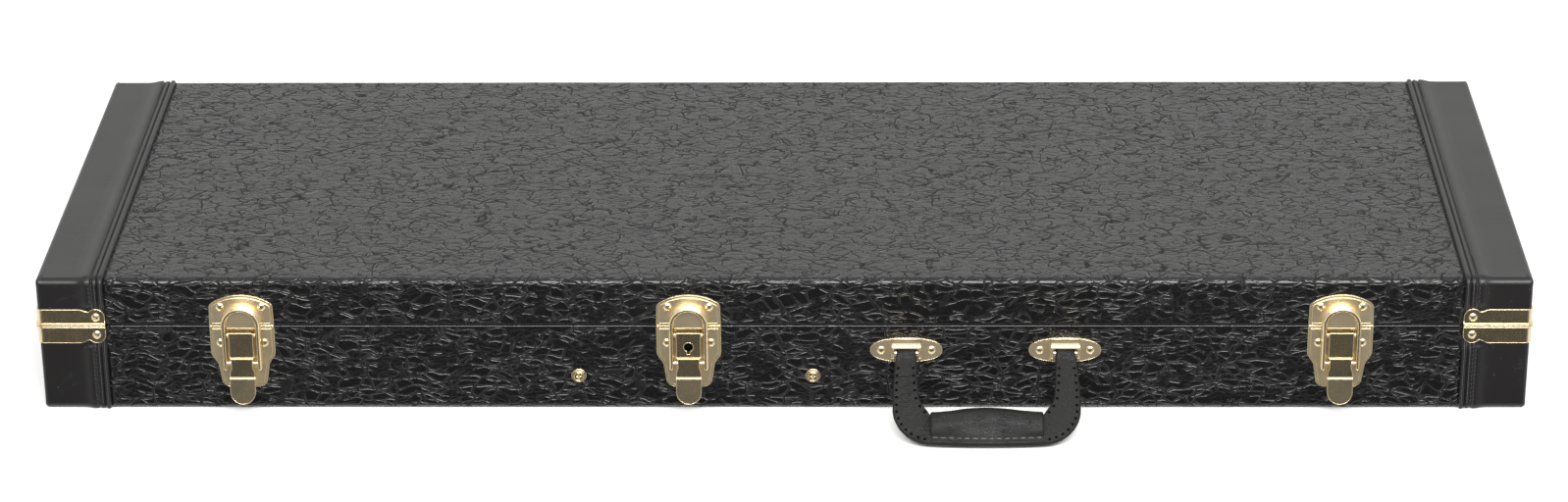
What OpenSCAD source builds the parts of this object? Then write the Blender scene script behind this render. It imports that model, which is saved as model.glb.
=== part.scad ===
// Rectangular hard case for an electric guitar: a plywood box sawn into a base and a lid,
// wrapped in grained vinyl, with smooth end covers, draw latches, a carrying handle,
// back hinges and a padded, plush-lined inside with an accessory pocket.
// Frame: +X along the length, -Y is the handle side, +Z up. Origin: centre of the underside.

/* [Case] */
// Outside length
case_length = 1040; // [860:1:1260]
// Outside depth, from the handle side to the hinge side
case_depth = 365; // [300:1:450]
// Height of the base, from the underside to the parting line
base_height = 65; // [60:1:90]
// Height of the lid, from the parting line to its top
lid_height = 35; // [32:1:60]
// Gap between the lid and the base when shut
parting_gap = 0.6; // [0.4:0.1:1.2]
// Radius of the long edges
long_edge_radius = 5; // [3:0.5:8]
// Radius of the edges at both ends
end_edge_radius = 3; // [2:0.5:6]

/* [Shell] */
// Thickness of the wall boards
board_thickness = 9; // [6:0.5:12]
// Thickness of the top and bottom panels
panel_thickness = 5; // [3:0.5:8]
// Thickness of the vinyl covering
covering_thickness = 1; // [0.8:0.1:1.4]
// Thickness of the plush on the base walls
base_lining = 2.5; // [2:0.5:4]
// Thickness of the plush on the lid walls
lid_lining = 2; // [1.5:0.5:3]
// Thickness of the locating tongue inside the rim
tongue_thickness = 3; // [2:0.5:5]
// How far the tongue stands above the parting line
tongue_rise = 6; // [4:0.5:8]
// How far the tongue reaches below the parting line
tongue_depth = 5.5; // [4:0.5:6]

/* [End covers] */
// Length of an end cover and its welt, along the case
end_cover_length = 47; // [30:1:70]
// Width of the rolled welt
welt_roll_width = 4.6; // [3:0.2:7]
// Width of the stitched band beside the roll
welt_band_width = 4; // [3:0.2:6]
// Height of the roll above the covering
welt_roll_height = 2; // [1:0.1:3]
// Height of the stitched band above the covering
welt_band_height = 1.4; // [0.8:0.1:2]

/* [Padding and pocket] */
// Thickness of the foam on the floor
floor_pad = 12; // [8:1:20]
// Thickness of the foam under the lid
lid_pad_thickness = 10; // [6:1:16]
// Place of the left divider
divider_left_x = -143; // [-200:1:-120]
// Place of the right divider
divider_right_x = 21; // [0:1:60]
// Thickness of a divider
divider_thickness = 9; // [6:0.5:12]
// Height of the dividers above the underside
divider_top = 52; // [45:1:53]
// Width of the neck channel
neck_channel = 84; // [70:1:110]
// Depth of the neck cut-outs in the dividers
neck_notch_depth = 24; // [15:1:30]
// Thickness of the pocket wall
pocket_wall_thickness = 9; // [6:0.5:12]
// Thickness of the pocket lid
pocket_lid_thickness = 5; // [4:0.5:6]
// Radius of the concave body pads
body_pad_radius = 168; // [130:1:190]

/* [Latches] */
// From the left end to the left latch
latch_left_inset = 142.5; // [100:0.5:220]
// From the middle of the case to the middle latch
latch_middle_x = -65.5; // [-90:0.5:-50]
// From the right end to the right latch
latch_right_inset = 132; // [100:0.5:180]
// Width of the latch plates
latch_width = 45; // [40:0.5:54]
// Height of the keeper plate above the parting line
keeper_height = 23.6; // [21:0.2:26]
// Length of the base plate below the parting line
plate_drop = 47.8; // [44:0.2:52]
// Thickness of the flange of both plates
plate_flange = 1; // [0.8:0.1:1.2]
// Height of the raised field of both plates
plate_field = 1.6; // [1.4:0.1:1.8]
// Outer radius of the bail
bail_radius = 13.4; // [12.6:0.1:15]
// Thickness of the bail seen from the front
bail_thickness = 2.6; // [2:0.1:3]
// Width of the lever
lever_width = 17; // [14:0.5:18]
// Radius of the lever's pivot pin
lever_pin_radius = 1.2; // [1:0.05:1.3]
// Radius of the bail's stub pins
bail_pin_radius = 1.3; // [1:0.05:1.5]
// Radius of the lock plug
lock_radius = 3.3; // [3:0.1:3.6]

/* [Handle] */
// Middle of the handle along the case
handle_x = 141.5; // [120:0.5:160]
// Height of the handle's pivots above the underside
handle_pivot_z = 46.3; // [42:0.1:48]
// Distance between the handle's two pivots
handle_span = 110.6; // [104:0.2:120]
// Reach of the handle from its pivots to its outer edge
handle_reach = 72; // [66:0.5:76]
// How far the handle lies below the horizontal at rest
handle_rest_angle = 37.6; // [30:0.2:42]
// Width of a handle leg at its eye
leg_width = 13.8; // [12:0.2:15]
// Length of the grip
grip_length = 78; // [60:1:80]
// Thickness of the grip
grip_thickness = 16; // [12:0.5:18]
// Radius of the handle's pivot pins
handle_pin_radius = 2; // [1.5:0.1:2.5]

/* [Hinges] */
// Distance from the middle hinge to the outer ones
hinge_spacing = 380; // [250:5:420]
// Width of a hinge
hinge_width = 38; // [30:1:50]
// Height of a hinge leaf
hinge_leaf_height = 22; // [18:0.5:26]
// Thickness of a hinge leaf
hinge_leaf_thickness = 1.5; // [1.2:0.1:2]
// Radius of the hinge barrel
hinge_barrel_radius = 3; // [2.6:0.1:4]
// Radius of the hinge pin
hinge_pin_radius = 1.5; // [1:0.1:2]

/* [End bands and fasteners] */
// Height of the band on the lid
lid_band_height = 12.2; // [10:0.2:16]
// Height of the band on the base
base_band_height = 13.4; // [10:0.2:16]
// Thickness of the bands
band_thickness = 0.8; // [0.6:0.1:1]
// Radius of the rivet heads
rivet_head_radius = 3; // [2.5:0.1:3.4]
// Radius of the rivet shanks
rivet_shank_radius = 1.5; // [1:0.1:1.6]
// Height of the divider screws above the underside
divider_screw_z = 26; // [22:0.5:34]
// Radius of the cup washers
cup_washer_radius = 5.2; // [4.4:0.1:6]

/* [Hidden] */

// Colours
vinyl = [0.09, 0.09, 0.1];
smooth_vinyl = [0.16, 0.155, 0.155];
brass = [0.78, 0.66, 0.4];
plywood = [0.72, 0.56, 0.36];
plush = [0.05, 0.05, 0.055];
foam = [0.3, 0.3, 0.32];
steel = [0.6, 0.6, 0.62];
dark_steel = [0.12, 0.12, 0.12];

// Case planes
case_height = base_height + lid_height;
front_y = -case_depth / 2;
back_y = case_depth / 2;
end_x = case_length / 2;
rim_z = base_height - parting_gap / 2;
lid_rim_z = base_height + parting_gap / 2;
wall = covering_thickness + board_thickness;
inner_x = end_x - wall;
inner_y = case_depth / 2 - wall;
floor_z = covering_thickness + panel_thickness;
ceiling_z = case_height - covering_thickness - panel_thickness;
pad_top = floor_z + floor_pad;
lined_x = inner_x - base_lining;
lined_y = inner_y - base_lining;
lid_lined_x = inner_x - lid_lining;
lid_lined_y = inner_y - lid_lining;
soft_gap = 0.3;
joint_gap = 0.05;
cut = 0.1;
round_steps = 360;
arc_steps = 6;

// End covers and welts
welt_x = end_x - end_cover_length;
band_x = welt_x + welt_roll_width;
cover_x = band_x + welt_band_width;

// Pocket and padding
divider_xs = [divider_left_x, divider_right_x];
bay_left = divider_left_x + divider_thickness / 2;
bay_right = divider_right_x - divider_thickness / 2;
channel_y = neck_channel / 2;
pocket_hinge_radius = pocket_lid_thickness / 2;
pocket_axis_y = -channel_y - pocket_hinge_radius;
pocket_axis_z = divider_top + soft_gap + pocket_hinge_radius;
pocket_front_y = -lined_y + tongue_thickness + 1;

// Latches: places along X, and heights from the parting line
latch_xs = [-end_x + latch_left_inset, latch_middle_x, end_x - latch_right_inset];
LEFT = 0;
MIDDLE = 1;
RIGHT = 2;
keeper_shoulder = 6.2;
field_inset = 1.9;
bail_inner = bail_radius - bail_thickness;
leg_back = 3.4;
arch_back = 6.4;
bail_front = 9.2;
bail_round = 0.9;
bail_clearance = 0.2;
leg_top = -1;
leg_tail = 4;
arch_z = 3.4;
step_front = 5.2;
boss_front = arch_back - 0.3;
lever_axis = [-4.5, 6.6];
bail_axis = [-26.3, 6];
lever_top = -2;
lever_skin = 1;
lever_back = 3.4;
lever_step_1 = -20.5;
lever_step_2 = -35;
lever_end = -54;
lever_front = [9.4, 10.8, 12];
lever_tab_flare = 3.6;
lever_waist = lever_width - 2;
tab_thickness = 1.5;
pin_clearance = 0.05;
ear_radius = 1.9;
ear_thickness = 1.2;
ear_gap = 0.3;
ear_outer = lever_width / 2 + ear_gap + ear_thickness;
lever_inner = lever_width / 2 - lever_skin - 0.2;
hollow_end = lever_step_1 + 0.3;
lock_z = -12.6;
lock_front = 8.7;
keyhole_slot = [2.4, 5.7];
cam_back = 2.3;
cam_thickness = 1.1;
staple_outer = lever_inner - 0.4;
staple_width = 4;
staple_thickness = 1;
cam_reach = staple_outer - staple_thickness - soft_gap;
keeper_rivet = [14.5, 14.8];
plate_rivet = [15.4, -12.7];

// Handle
handle_pivot_n = 6;
bracket_xs = [handle_x - handle_span / 2, handle_x + handle_span / 2];
bracket_size = [25.2, 9.2];
bracket_plate = 1.2;
bracket_rivet_x = 17.6;
hood_inner = leg_width / 2 + 1.5;
hood_wall = 1.6;
eye_radius = 4.3;
leather = 1.8;
core_thickness = 1.6;
core_inset = 1.6;
leg_spread = 3;
handle_corner = 27;
bar_inner = 47;
grip_inner = 46;
grip_bulge = 3.4;

// Hinges
hinge_xs = [-hinge_spacing, 0, hinge_spacing];
hinge_axis_y = back_y + hinge_barrel_radius + 0.3;
hinge_axis_z = base_height;
knuckle = hinge_width / 3;
hinge_screw_x = hinge_width / 2 - 6;
hinge_screw_drop = 14;

// Bands and fasteners
band_lip = 0.8;
band_lip_height = 1.2;
band_outset = 5;
lobe_radius = 6.3;
lobe_x = end_x - end_cover_length + lobe_radius;
base_band_rivet = 7;
lid_band_rivet = 6.3;
lid_band_top = max(lid_band_height, lid_band_rivet + lobe_radius);
base_band_bottom = max(base_band_height, base_band_rivet + lobe_radius);
band_neck = 5.2;
band_shoulder = 12;
shank_length = 7;
screw_radius = 1.8;
screw_head = 3.3;
divider_screw_length = 22;
cup_height = 2;
cup_rim = 0.6;

// ---------- helpers ----------

// Corner points of a rectangle with rounded corners, from its lowest corner and its size.
function rounded_rect(low, size, r) = [
  for (c = [[1, 1, 0], [0, 1, 90], [0, 0, 180], [1, 0, 270]])
    for (i = [0:arc_steps])
      let (a = c[2] + 90 * i / arc_steps)
      [low[0] + (c[0] ? size[0] - r : r) + r * cos(a),
       low[1] + (c[1] ? size[1] - r : r) + r * sin(a)]
];

// An outline moved inwards by d. Its points run anticlockwise.
function inset_outline(p, d) = [
  for (i = [0:len(p) - 1])
    let (
      a = p[(i + len(p) - 1) % len(p)], b = p[i], c = p[(i + 1) % len(p)],
      u = (b - a) / norm(b - a), v = (c - b) / norm(c - b),
      n = [-u[1] - v[1], u[0] + v[0]]
    )
    b + n * d / (1 + u * v)
];

// The right half of an outline, from bottom to top, and its mirror image.
function mirrored(half) = concat(
  half, [for (i = [len(half) - 1:-1:0]) if (abs(half[i][0]) > 0.001) [-half[i][0], half[i][1]]]
);

module prism(points, height) {
  linear_extrude(height = height) polygon(points);
}

// Children drawn with X to the right, Y up and Z out of the case, on its front or its back.
module on_front(x, z) {
  translate([x, front_y, z]) rotate([90, 0, 0]) children();
}

module on_back(x, z) {
  translate([x, back_y, z]) rotate([90, 0, 180]) children();
}

// Children drawn with X to the left, Y up and Z along +X.
module along_x(x0) {
  translate([x0, 0, 0]) rotate([90, 0, 90]) children();
}

// A bar along X between x0 and x1 whose section is drawn in (y, z).
module bar(x0, x1, points) {
  along_x(x0) prism(points, x1 - x0);
}

// A box from its lowest to its highest corner.
module block(low, high) {
  translate(low) cube(high - low);
}

// The same on both sides of the YZ plane.
module both_ends() {
  children();
  mirror([1, 0, 0]) children();
}

// ---------- shell ----------

// The case's closed outer form, moved inwards by an inset, between two heights.
module case_form(inset, z0, z1) {
  long_r = long_edge_radius - inset;
  end_r = end_edge_radius - inset;
  size = [case_length, case_depth, case_height] - 2 * [inset, inset, inset];
  intersection() {
    bar(-size[0] / 2, size[0] / 2, rounded_rect([-size[1] / 2, inset], [size[1], size[2]], long_r));
    translate([0, 0, z0])
      prism(rounded_rect([-size[0] / 2, -size[1] / 2], [size[0], size[1]], end_r), z1 - z0);
    translate([0, size[1] / 2, 0]) rotate([90, 0, 0])
      prism(rounded_rect([-size[0] / 2, inset], [size[0], size[2]], end_r), size[1]);
  }
}

// Four wall boards: the front and back run the full length, the ends fit between them.
module wall_boards(z0, z1) {
  x = end_x - covering_thickness;
  y = case_depth / 2 - covering_thickness;
  difference() {
    intersection() {
      case_form(covering_thickness, z0, z1);
      union() {
        for (s = [-1, 1]) {
          translate([0, s * (y - board_thickness / 2), (z0 + z1) / 2])
            cube([2 * x, board_thickness, z1 - z0], center = true);
          translate([s * (x - board_thickness / 2), 0, (z0 + z1) / 2])
            cube([board_thickness, 2 * inner_y - joint_gap, z1 - z0], center = true);
        }
      }
    }
    fastener_holes(z0, z1);
  }
}

module panel(z0, z1) {
  case_form(covering_thickness, z0, z1);
}

// The grained vinyl on the front, back and one broad face, between the two welts.
module covering(z0, z1) {
  difference() {
    intersection() {
      bar(-welt_x, welt_x, rounded_rect([front_y, 0], [case_depth, case_height], long_edge_radius));
      block([-end_x, front_y - 1, z0], [end_x, back_y + 1, z1]);
    }
    bar(-end_x, end_x, rounded_rect(
      [front_y + covering_thickness, covering_thickness],
      [case_depth - 2 * covering_thickness, case_height - 2 * covering_thickness],
      long_edge_radius - covering_thickness));
    fastener_holes(z0, z1);
  }
}

// A smooth vinyl cap over the right-hand end.
module end_cover(z0, z1) {
  difference() {
    intersection() {
      case_form(0, z0, z1);
      block([cover_x, front_y - 1, z0], [end_x + 1, back_y + 1, z1]);
    }
    case_form(covering_thickness, z0 - 1, z1 + 1);
    fastener_holes(z0, z1);
  }
}

// One ring of the welt at the right-hand end. It stands proud of the front, the back and
// the top, lies flush on the underside, and is pressed flat where the metal band crosses it.
module welt_ring(x0, x1, height, z0, z1, flat0, flat1) {
  difference() {
    intersection() {
      union() {
        bar(x0, x1, rounded_rect([front_y, 0], [case_depth, case_height], long_edge_radius));
        difference() {
          bar(x0, x1, rounded_rect(
            [front_y - height, 0], [case_depth + 2 * height, case_height + height],
            long_edge_radius));
          block([x0 - 1, front_y - 10, flat0], [x1 + 1, back_y + 10, flat1]);
        }
      }
      block([x0, front_y - 10, z0], [x1, back_y + 10, z1]);
    }
    bar(x0 - 1, x1 + 1, rounded_rect(
      [front_y + covering_thickness, covering_thickness],
      [case_depth - 2 * covering_thickness, case_height - 2 * covering_thickness],
      long_edge_radius - covering_thickness));
    fastener_holes(z0, z1);
  }
}

module welts(z0, z1, flat0, flat1) {
  both_ends() {
    welt_ring(welt_x, band_x, welt_roll_height, z0, z1, flat0, flat1);
    welt_ring(band_x, cover_x, welt_band_height, z0, z1, flat0, flat1);
  }
}

module base_boards() {
  color(plywood) wall_boards(floor_z, rim_z);
}

module base_bottom_panel() {
  color(plywood) panel(covering_thickness, floor_z);
}

module base_covering() {
  color(vinyl) covering(0, rim_z);
}

module base_end_cover_left() {
  color(smooth_vinyl) mirror([1, 0, 0]) end_cover(0, rim_z);
}

module base_end_cover_right() {
  color(smooth_vinyl) end_cover(0, rim_z);
}

module base_welts() {
  color(smooth_vinyl) welts(0, rim_z, base_height - base_band_bottom - soft_gap, case_height);
}

module lid_boards() {
  color(plywood) wall_boards(lid_rim_z, ceiling_z);
}

module lid_top_panel() {
  color(plywood) panel(ceiling_z, case_height - covering_thickness);
}

module lid_covering() {
  color(vinyl) covering(lid_rim_z, case_height);
}

module lid_end_cover_left() {
  color(smooth_vinyl) mirror([1, 0, 0]) end_cover(lid_rim_z, case_height);
}

module lid_end_cover_right() {
  color(smooth_vinyl) end_cover(lid_rim_z, case_height);
}

module lid_welts() {
  color(smooth_vinyl)
    welts(lid_rim_z, case_height + welt_roll_height, 0, base_height + lid_band_top + soft_gap);
}

// ---------- inside ----------

// Four strips round the inside of the walls, as boxes that don't meet.
module inner_strips(x, y, thickness, z0, z1) {
  for (s = [-1, 1]) {
    translate([0, s * (y - thickness / 2), (z0 + z1) / 2])
      cube([2 * x, thickness, z1 - z0], center = true);
    translate([s * (x - thickness / 2), 0, (z0 + z1) / 2])
      cube([thickness, 2 * (y - thickness), z1 - z0], center = true);
  }
}

module base_wall_lining() {
  color(plush) difference() {
    inner_strips(inner_x, inner_y, base_lining, floor_z, rim_z);
    fastener_holes(0, rim_z);
  }
}

module lid_wall_lining() {
  color(plush) difference() {
    inner_strips(inner_x, inner_y, lid_lining, lid_rim_z, ceiling_z);
    fastener_holes(lid_rim_z, case_height);
  }
}

module rim_tongue() {
  color(plush) inner_strips(
    lined_x, lined_y, tongue_thickness, base_height - tongue_depth, base_height + tongue_rise);
}

module base_floor_pad() {
  color(foam) block([-lined_x, -lined_y, floor_z], [lined_x, lined_y, pad_top]);
}

module lid_pad() {
  color(foam) block(
    [-lid_lined_x, -lid_lined_y, ceiling_z - lid_pad_thickness], [lid_lined_x, lid_lined_y, ceiling_z]);
}

// Each divider spans the case and has a round-bottomed notch for the neck.
module dividers() {
  notch_z = divider_top - neck_notch_depth;
  color(plush) for (x = divider_xs) difference() {
    block([x - divider_thickness / 2, -lined_y, pad_top], [x + divider_thickness / 2, lined_y, divider_top]);
    block([x - divider_thickness, -channel_y, notch_z], [x + divider_thickness, channel_y, case_height]);
    fastener_holes(0, rim_z);
  }
}

module pocket_wall() {
  color(plush) block(
    [bay_left, -channel_y - pocket_wall_thickness, pad_top], [bay_right, -channel_y, divider_top]);
}

// A foam saddle between the dividers, hollowed along the neck.
module neck_rest() {
  top = divider_top - neck_notch_depth - soft_gap;
  saddle_depth = 4;
  saddle_radius = (channel_y * channel_y + saddle_depth * saddle_depth) / (2 * saddle_depth);
  color(foam) difference() {
    block([bay_left, -channel_y, pad_top], [bay_right, channel_y, top]);
    translate([bay_left - 1, 0, top + saddle_radius - saddle_depth]) rotate([0, 90, 0])
      cylinder(r = saddle_radius, h = bay_right - bay_left + 2, $fn = round_steps);
  }
}

module neck_side_block() {
  color(foam) block([bay_left, channel_y, pad_top], [bay_right, lined_y, divider_top]);
}

// Foam in the four corners of the body bay, hollowed to the round of a guitar's body.
module body_pads() {
  bay0 = divider_right_x + divider_thickness / 2;
  top = base_height - tongue_depth - soft_gap;
  reach = body_pad_radius;
  color(foam) for (side = [-1, 1], far = [0, 1]) {
    x_corner = far ? lined_x : bay0;
    x_in = far ? lined_x - reach : bay0 + reach;
    difference() {
      block([min(x_corner, x_in), min(side * lined_y, side * 4), pad_top],
            [max(x_corner, x_in), max(side * lined_y, side * 4), top]);
      translate([x_in, 0, pad_top - 1]) cylinder(r = body_pad_radius, h = case_height, $fn = round_steps);
    }
  }
}

module pocket_lid() {
  color(plush) {
    block([bay_left - divider_thickness, pocket_front_y, divider_top + soft_gap],
          [bay_right + divider_thickness, pocket_axis_y, divider_top + soft_gap + pocket_lid_thickness]);
    translate([bay_left - divider_thickness, pocket_axis_y, pocket_axis_z]) rotate([0, 90, 0])
      cylinder(r = pocket_hinge_radius, h = bay_right - bay_left + 2 * divider_thickness, $fn = 32);
  }
}

// A ribbon loop glued on top of the pocket lid's front edge.
module pocket_pull_tab() {
  x = (bay_left + bay_right) / 2;
  z = divider_top + soft_gap + pocket_lid_thickness;
  color(smooth_vinyl) block([x - 10, pocket_front_y + 2, z], [x + 10, pocket_front_y + 34, z + 1]);
}

// ---------- fasteners ----------

// A domed rivet with its head on the plane z = 0 and its shank below.
module rivet(r, under) {
  dome = 1.1;
  sphere_r = (r * r + dome * dome) / (2 * dome);
  intersection() {
    translate([0, 0, dome - sphere_r]) sphere(r = sphere_r, $fn = 64);
    cylinder(r = r, h = dome + 1, $fn = 48);
  }
  translate([0, 0, -under - shank_length])
    cylinder(r = rivet_shank_radius, h = under + shank_length, $fn = 32);
}

module shank_hole(r, under, length) {
  translate([0, 0, -length - cut]) cylinder(r = r + pin_clearance, h = under + length + 2 * cut, $fn = 32);
}

module at_plate_rivets(spot) {
  for (x = latch_xs, s = [-1, 1]) on_front(x + s * spot[0], base_height + spot[1]) children();
}

module at_bracket_rivets() {
  for (x = bracket_xs, s = [-1, 1]) on_front(x + s * bracket_rivet_x, handle_pivot_z) children();
}

module at_band_rivets(z) {
  both_ends() {
    on_front(lobe_x, z) children();
    on_back(lobe_x, z) children();
  }
}

module at_divider_screws() {
  for (x = divider_xs) {
    on_front(x, divider_screw_z) children();
    on_back(x, divider_screw_z) children();
  }
}

module at_hinge_screws(side) {
  for (x = hinge_xs, s = [-1, 1])
    on_back(x + s * hinge_screw_x, base_height + side * hinge_screw_drop) children();
}

// Every hole that a rivet or screw makes in the shell between two heights.
module fastener_holes(z0, z1) {
  r = rivet_shank_radius;
  if (z1 <= base_height) {
    at_plate_rivets(plate_rivet) shank_hole(r, 1, shank_length);
    at_bracket_rivets() shank_hole(r, 1, shank_length);
    at_band_rivets(base_height - base_band_rivet) shank_hole(r, 1, shank_length);
    at_hinge_screws(-1) shank_hole(r, 1, shank_length);
    at_divider_screws() shank_hole(screw_radius, 1, divider_screw_length);
  } else {
    at_plate_rivets(keeper_rivet) shank_hole(r, 1, shank_length);
    at_band_rivets(base_height + lid_band_rivet) shank_hole(r, 1, shank_length);
    at_hinge_screws(1) shank_hole(r, 1, shank_length);
  }
}

module base_rivets() {
  color(brass) {
    at_plate_rivets(plate_rivet) translate([0, 0, plate_field]) rivet(rivet_head_radius, plate_field);
    at_bracket_rivets() translate([0, 0, bracket_plate]) rivet(rivet_head_radius, bracket_plate);
    at_band_rivets(base_height - base_band_rivet)
      translate([0, 0, band_thickness]) rivet(rivet_head_radius, band_thickness);
  }
}

module lid_rivets() {
  color(brass) {
    at_plate_rivets(keeper_rivet) translate([0, 0, plate_field]) rivet(rivet_head_radius, plate_field);
    at_band_rivets(base_height + lid_band_rivet)
      translate([0, 0, band_thickness]) rivet(rivet_head_radius, band_thickness);
  }
}

module cup_washers() {
  bore = screw_radius + pin_clearance;
  color(brass) at_divider_screws() difference() {
    cylinder(r1 = cup_washer_radius, r2 = screw_head + cup_rim, h = cup_height, $fn = 48);
    translate([0, 0, -cut]) cylinder(r = bore, h = cup_height + 2 * cut, $fn = 32);
    translate([0, 0, cup_height / 2])
      cylinder(r1 = bore, r2 = screw_head + pin_clearance, h = cup_height / 2 + cut, $fn = 48);
  }
}

// Countersunk screws with a cross recess, seated in the cup washers.
module divider_screws() {
  recess = [3.6, 0.7];
  color(brass) at_divider_screws() difference() {
    union() {
      translate([0, 0, cup_height / 2 + cut])
        cylinder(r1 = screw_radius, r2 = screw_head - 2 * pin_clearance, h = cup_height / 2, $fn = 48);
      translate([0, 0, 1 - divider_screw_length])
        cylinder(r = screw_radius, h = divider_screw_length + cup_height / 2 - 1 + 2 * cut, $fn = 32);
    }
    for (a = [0, 90]) rotate([0, 0, a])
      translate([-recess[0] / 2, -recess[1] / 2, cup_height - 0.9]) cube([recess[0], recess[1], 2]);
  }
}

// ---------- end bands ----------

// Front view of a band at the right-hand end, running up from the parting line. Its free end
// is a round lobe about the rivet, joined by a narrower neck to the full height.
function band_outline(height, rivet_z) =
  let (top = rivet_z + lobe_radius * sin(40), left = lobe_x + lobe_radius * cos(40))
  concat(
    [for (i = [0:14]) let (a = 180 - 10 * i) [lobe_x + lobe_radius * cos(a), rivet_z + lobe_radius * sin(a)]],
    [for (i = [1:arc_steps]) let (a = 180 * i / arc_steps)
      [left + (band_shoulder - band_neck) * i / arc_steps, top + (height - top) * (1 - cos(a)) / 2]],
    [[end_x + band_outset, height], [end_x + band_outset, 0], [lobe_x - lobe_radius, 0]]
  );

// A wall round the whole case, as thick as it stands out.
module band_shell(out) {
  difference() {
    prism(rounded_rect(
      [-end_x - out, front_y - out], [case_length + 2 * out, case_depth + 2 * out],
      end_edge_radius + out), case_height);
    translate([0, 0, -1])
      prism(rounded_rect([-end_x, front_y], [case_length, case_depth], end_edge_radius), case_height + 2);
  }
}

// A metal band wrapped round the right-hand end, on the lid (side 1) or the base (side -1),
// with a lip along its edge at the parting line.
module end_band(height, rivet_z, side) {
  color(brass) difference() {
    intersection() {
      union() {
        band_shell(band_thickness);
        intersection() {
          band_shell(band_thickness + band_lip);
          translate([0, 0, base_height + side * (parting_gap + band_lip_height) / 2])
            cube([2 * case_length, 2 * case_depth, band_lip_height], center = true);
        }
      }
      translate([0, back_y + band_outset, base_height]) rotate([90, 0, 0])
        linear_extrude(height = case_depth + 2 * band_outset) intersection() {
          mirror([0, side > 0 ? 0 : 1]) polygon(band_outline(height, rivet_z));
          translate([0, side > 0 ? parting_gap / 2 : -case_height])
            square([case_length, case_height - parting_gap / 2]);
        }
    }
    at_band_rivets(base_height + side * rivet_z) shank_hole(rivet_shank_radius, band_thickness, 1);
  }
}

module base_band_left() {
  mirror([1, 0, 0]) end_band(base_band_height, base_band_rivet, -1);
}

module base_band_right() {
  end_band(base_band_height, base_band_rivet, -1);
}

module lid_band_left() {
  mirror([1, 0, 0]) end_band(lid_band_height, lid_band_rivet, 1);
}

module lid_band_right() {
  end_band(lid_band_height, lid_band_rivet, 1);
}

// ---------- latches ----------

// Right half of the keeper plate's outline, from the parting line up, with an arched top.
function keeper_half() =
  let (
    w = latch_width / 2, chord = w - 2, rise = keeper_shoulder,
    radius = (chord * chord + rise * rise) / (2 * rise), half = asin(chord / radius)
  )
  concat(
    [[w, parting_gap / 2], [w - 0.4, keeper_height - rise - 2]],
    [for (i = [0:8]) let (a = half * (1 - i / 8)) [radius * sin(a), keeper_height - radius * (1 - cos(a))]]
  );

// Right half of the base plate's outline, from its lower end up to the parting line: a bowed
// end with round corners, then an S-curve out to the full width.
function plate_half() =
  let (w = latch_width / 2, d = plate_drop, neck = w - 4.9, foot = w - 6.4, r = 6, sway = 8)
  concat(
    [[0, -d]],
    [for (i = [0:arc_steps]) let (a = 80 - 80 * i / arc_steps)
      [foot - r + r * cos(a), -d + 0.7 + r * (1 - sin(a))]],
    [for (i = [0:sway]) let (t = i / sway)
      [neck + (w - neck) * (1 - cos(180 * t)) / 2, -d + 16.6 + 10.8 * t]],
    [[w, -parting_gap / 2]]
  );

// A stamped plate: a flange all round and a raised field.
module stamped_plate(outline) {
  prism(outline, plate_flange);
  prism(inset_outline(outline, field_inset), plate_field);
}

// A solid with an arched top above arch_z and straight sides below it, down to z0. Its
// section is given as (distance from the middle, distance out of the case).
module arch(section, z0) {
  translate([0, arch_z, 0]) difference() {
    rotate_extrude($fn = 96) polygon(section);
    translate([-2 * bail_radius, -4 * bail_radius, -1]) cube([4 * bail_radius, 4 * bail_radius, 20]);
  }
  for (s = [0, 1]) mirror([s, 0, 0]) translate([0, arch_z, 0]) rotate([90, 0, 0])
    linear_extrude(height = arch_z - z0) polygon(section);
}

// The keeper plate on the lid, with the stepped boss that the bail lies against.
module keeper_plate(side) {
  step = bail_radius - bail_clearance;
  boss = bail_inner - bail_clearance;
  color(brass) on_front(latch_xs[side], base_height) difference() {
    union() {
      stamped_plate(mirrored(keeper_half()));
      arch([[0, 0], [step, 0], [step, step_front - bail_round], [step - bail_round, step_front],
            [boss, step_front], [boss - bail_round, boss_front], [0, boss_front]], parting_gap / 2);
    }
    for (s = [-1, 1]) translate([s * keeper_rivet[0], keeper_rivet[1], 0])
      shank_hole(rivet_shank_radius, plate_field, 1);
  }
}

// An ear on each side of the lever, round about the lever's axis.
module lever_ears() {
  for (s = [0, 1]) mirror([s, 0, 0]) translate([ear_outer - ear_thickness, lever_axis[0], 0]) difference() {
    union() {
      translate([0, 0, lever_axis[1]]) rotate([0, 90, 0])
        cylinder(r = ear_radius, h = ear_thickness, $fn = 32);
      translate([0, -ear_radius, 0]) cube([ear_thickness, 2 * ear_radius, lever_axis[1]]);
    }
    translate([-1, 0, lever_axis[1]]) rotate([0, 90, 0])
      cylinder(r = lever_pin_radius + pin_clearance / 2, h = ear_thickness + 2, $fn = 32);
  }
}

// The staple that the lock's cam turns under: a post with a lip, both within the lever.
module lock_staple() {
  lip_back = cam_back + cam_thickness + 0.6;
  translate([staple_outer - staple_thickness, lock_z - staple_width / 2, 0])
    cube([staple_thickness, staple_width, lip_back + staple_thickness]);
  translate([staple_outer - 2.2, lock_z - staple_width / 2, lip_back])
    cube([2, staple_width, staple_thickness]);
}

module latch_plate(side) {
  color(brass) on_front(latch_xs[side], base_height) difference() {
    union() {
      stamped_plate(mirrored(plate_half()));
      lever_ears();
      if (side == MIDDLE) lock_staple();
    }
    for (s = [-1, 1]) translate([s * plate_rivet[0], plate_rivet[1], 0])
      shank_hole(rivet_shank_radius, plate_field, 1);
  }
}

module latch_pivot_pins() {
  color(brass) for (x = latch_xs) on_front(x, base_height)
    translate([-ear_outer, lever_axis[0], lever_axis[1]]) rotate([0, 90, 0])
      cylinder(r = lever_pin_radius, h = 2 * ear_outer, $fn = 32);
}

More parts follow.
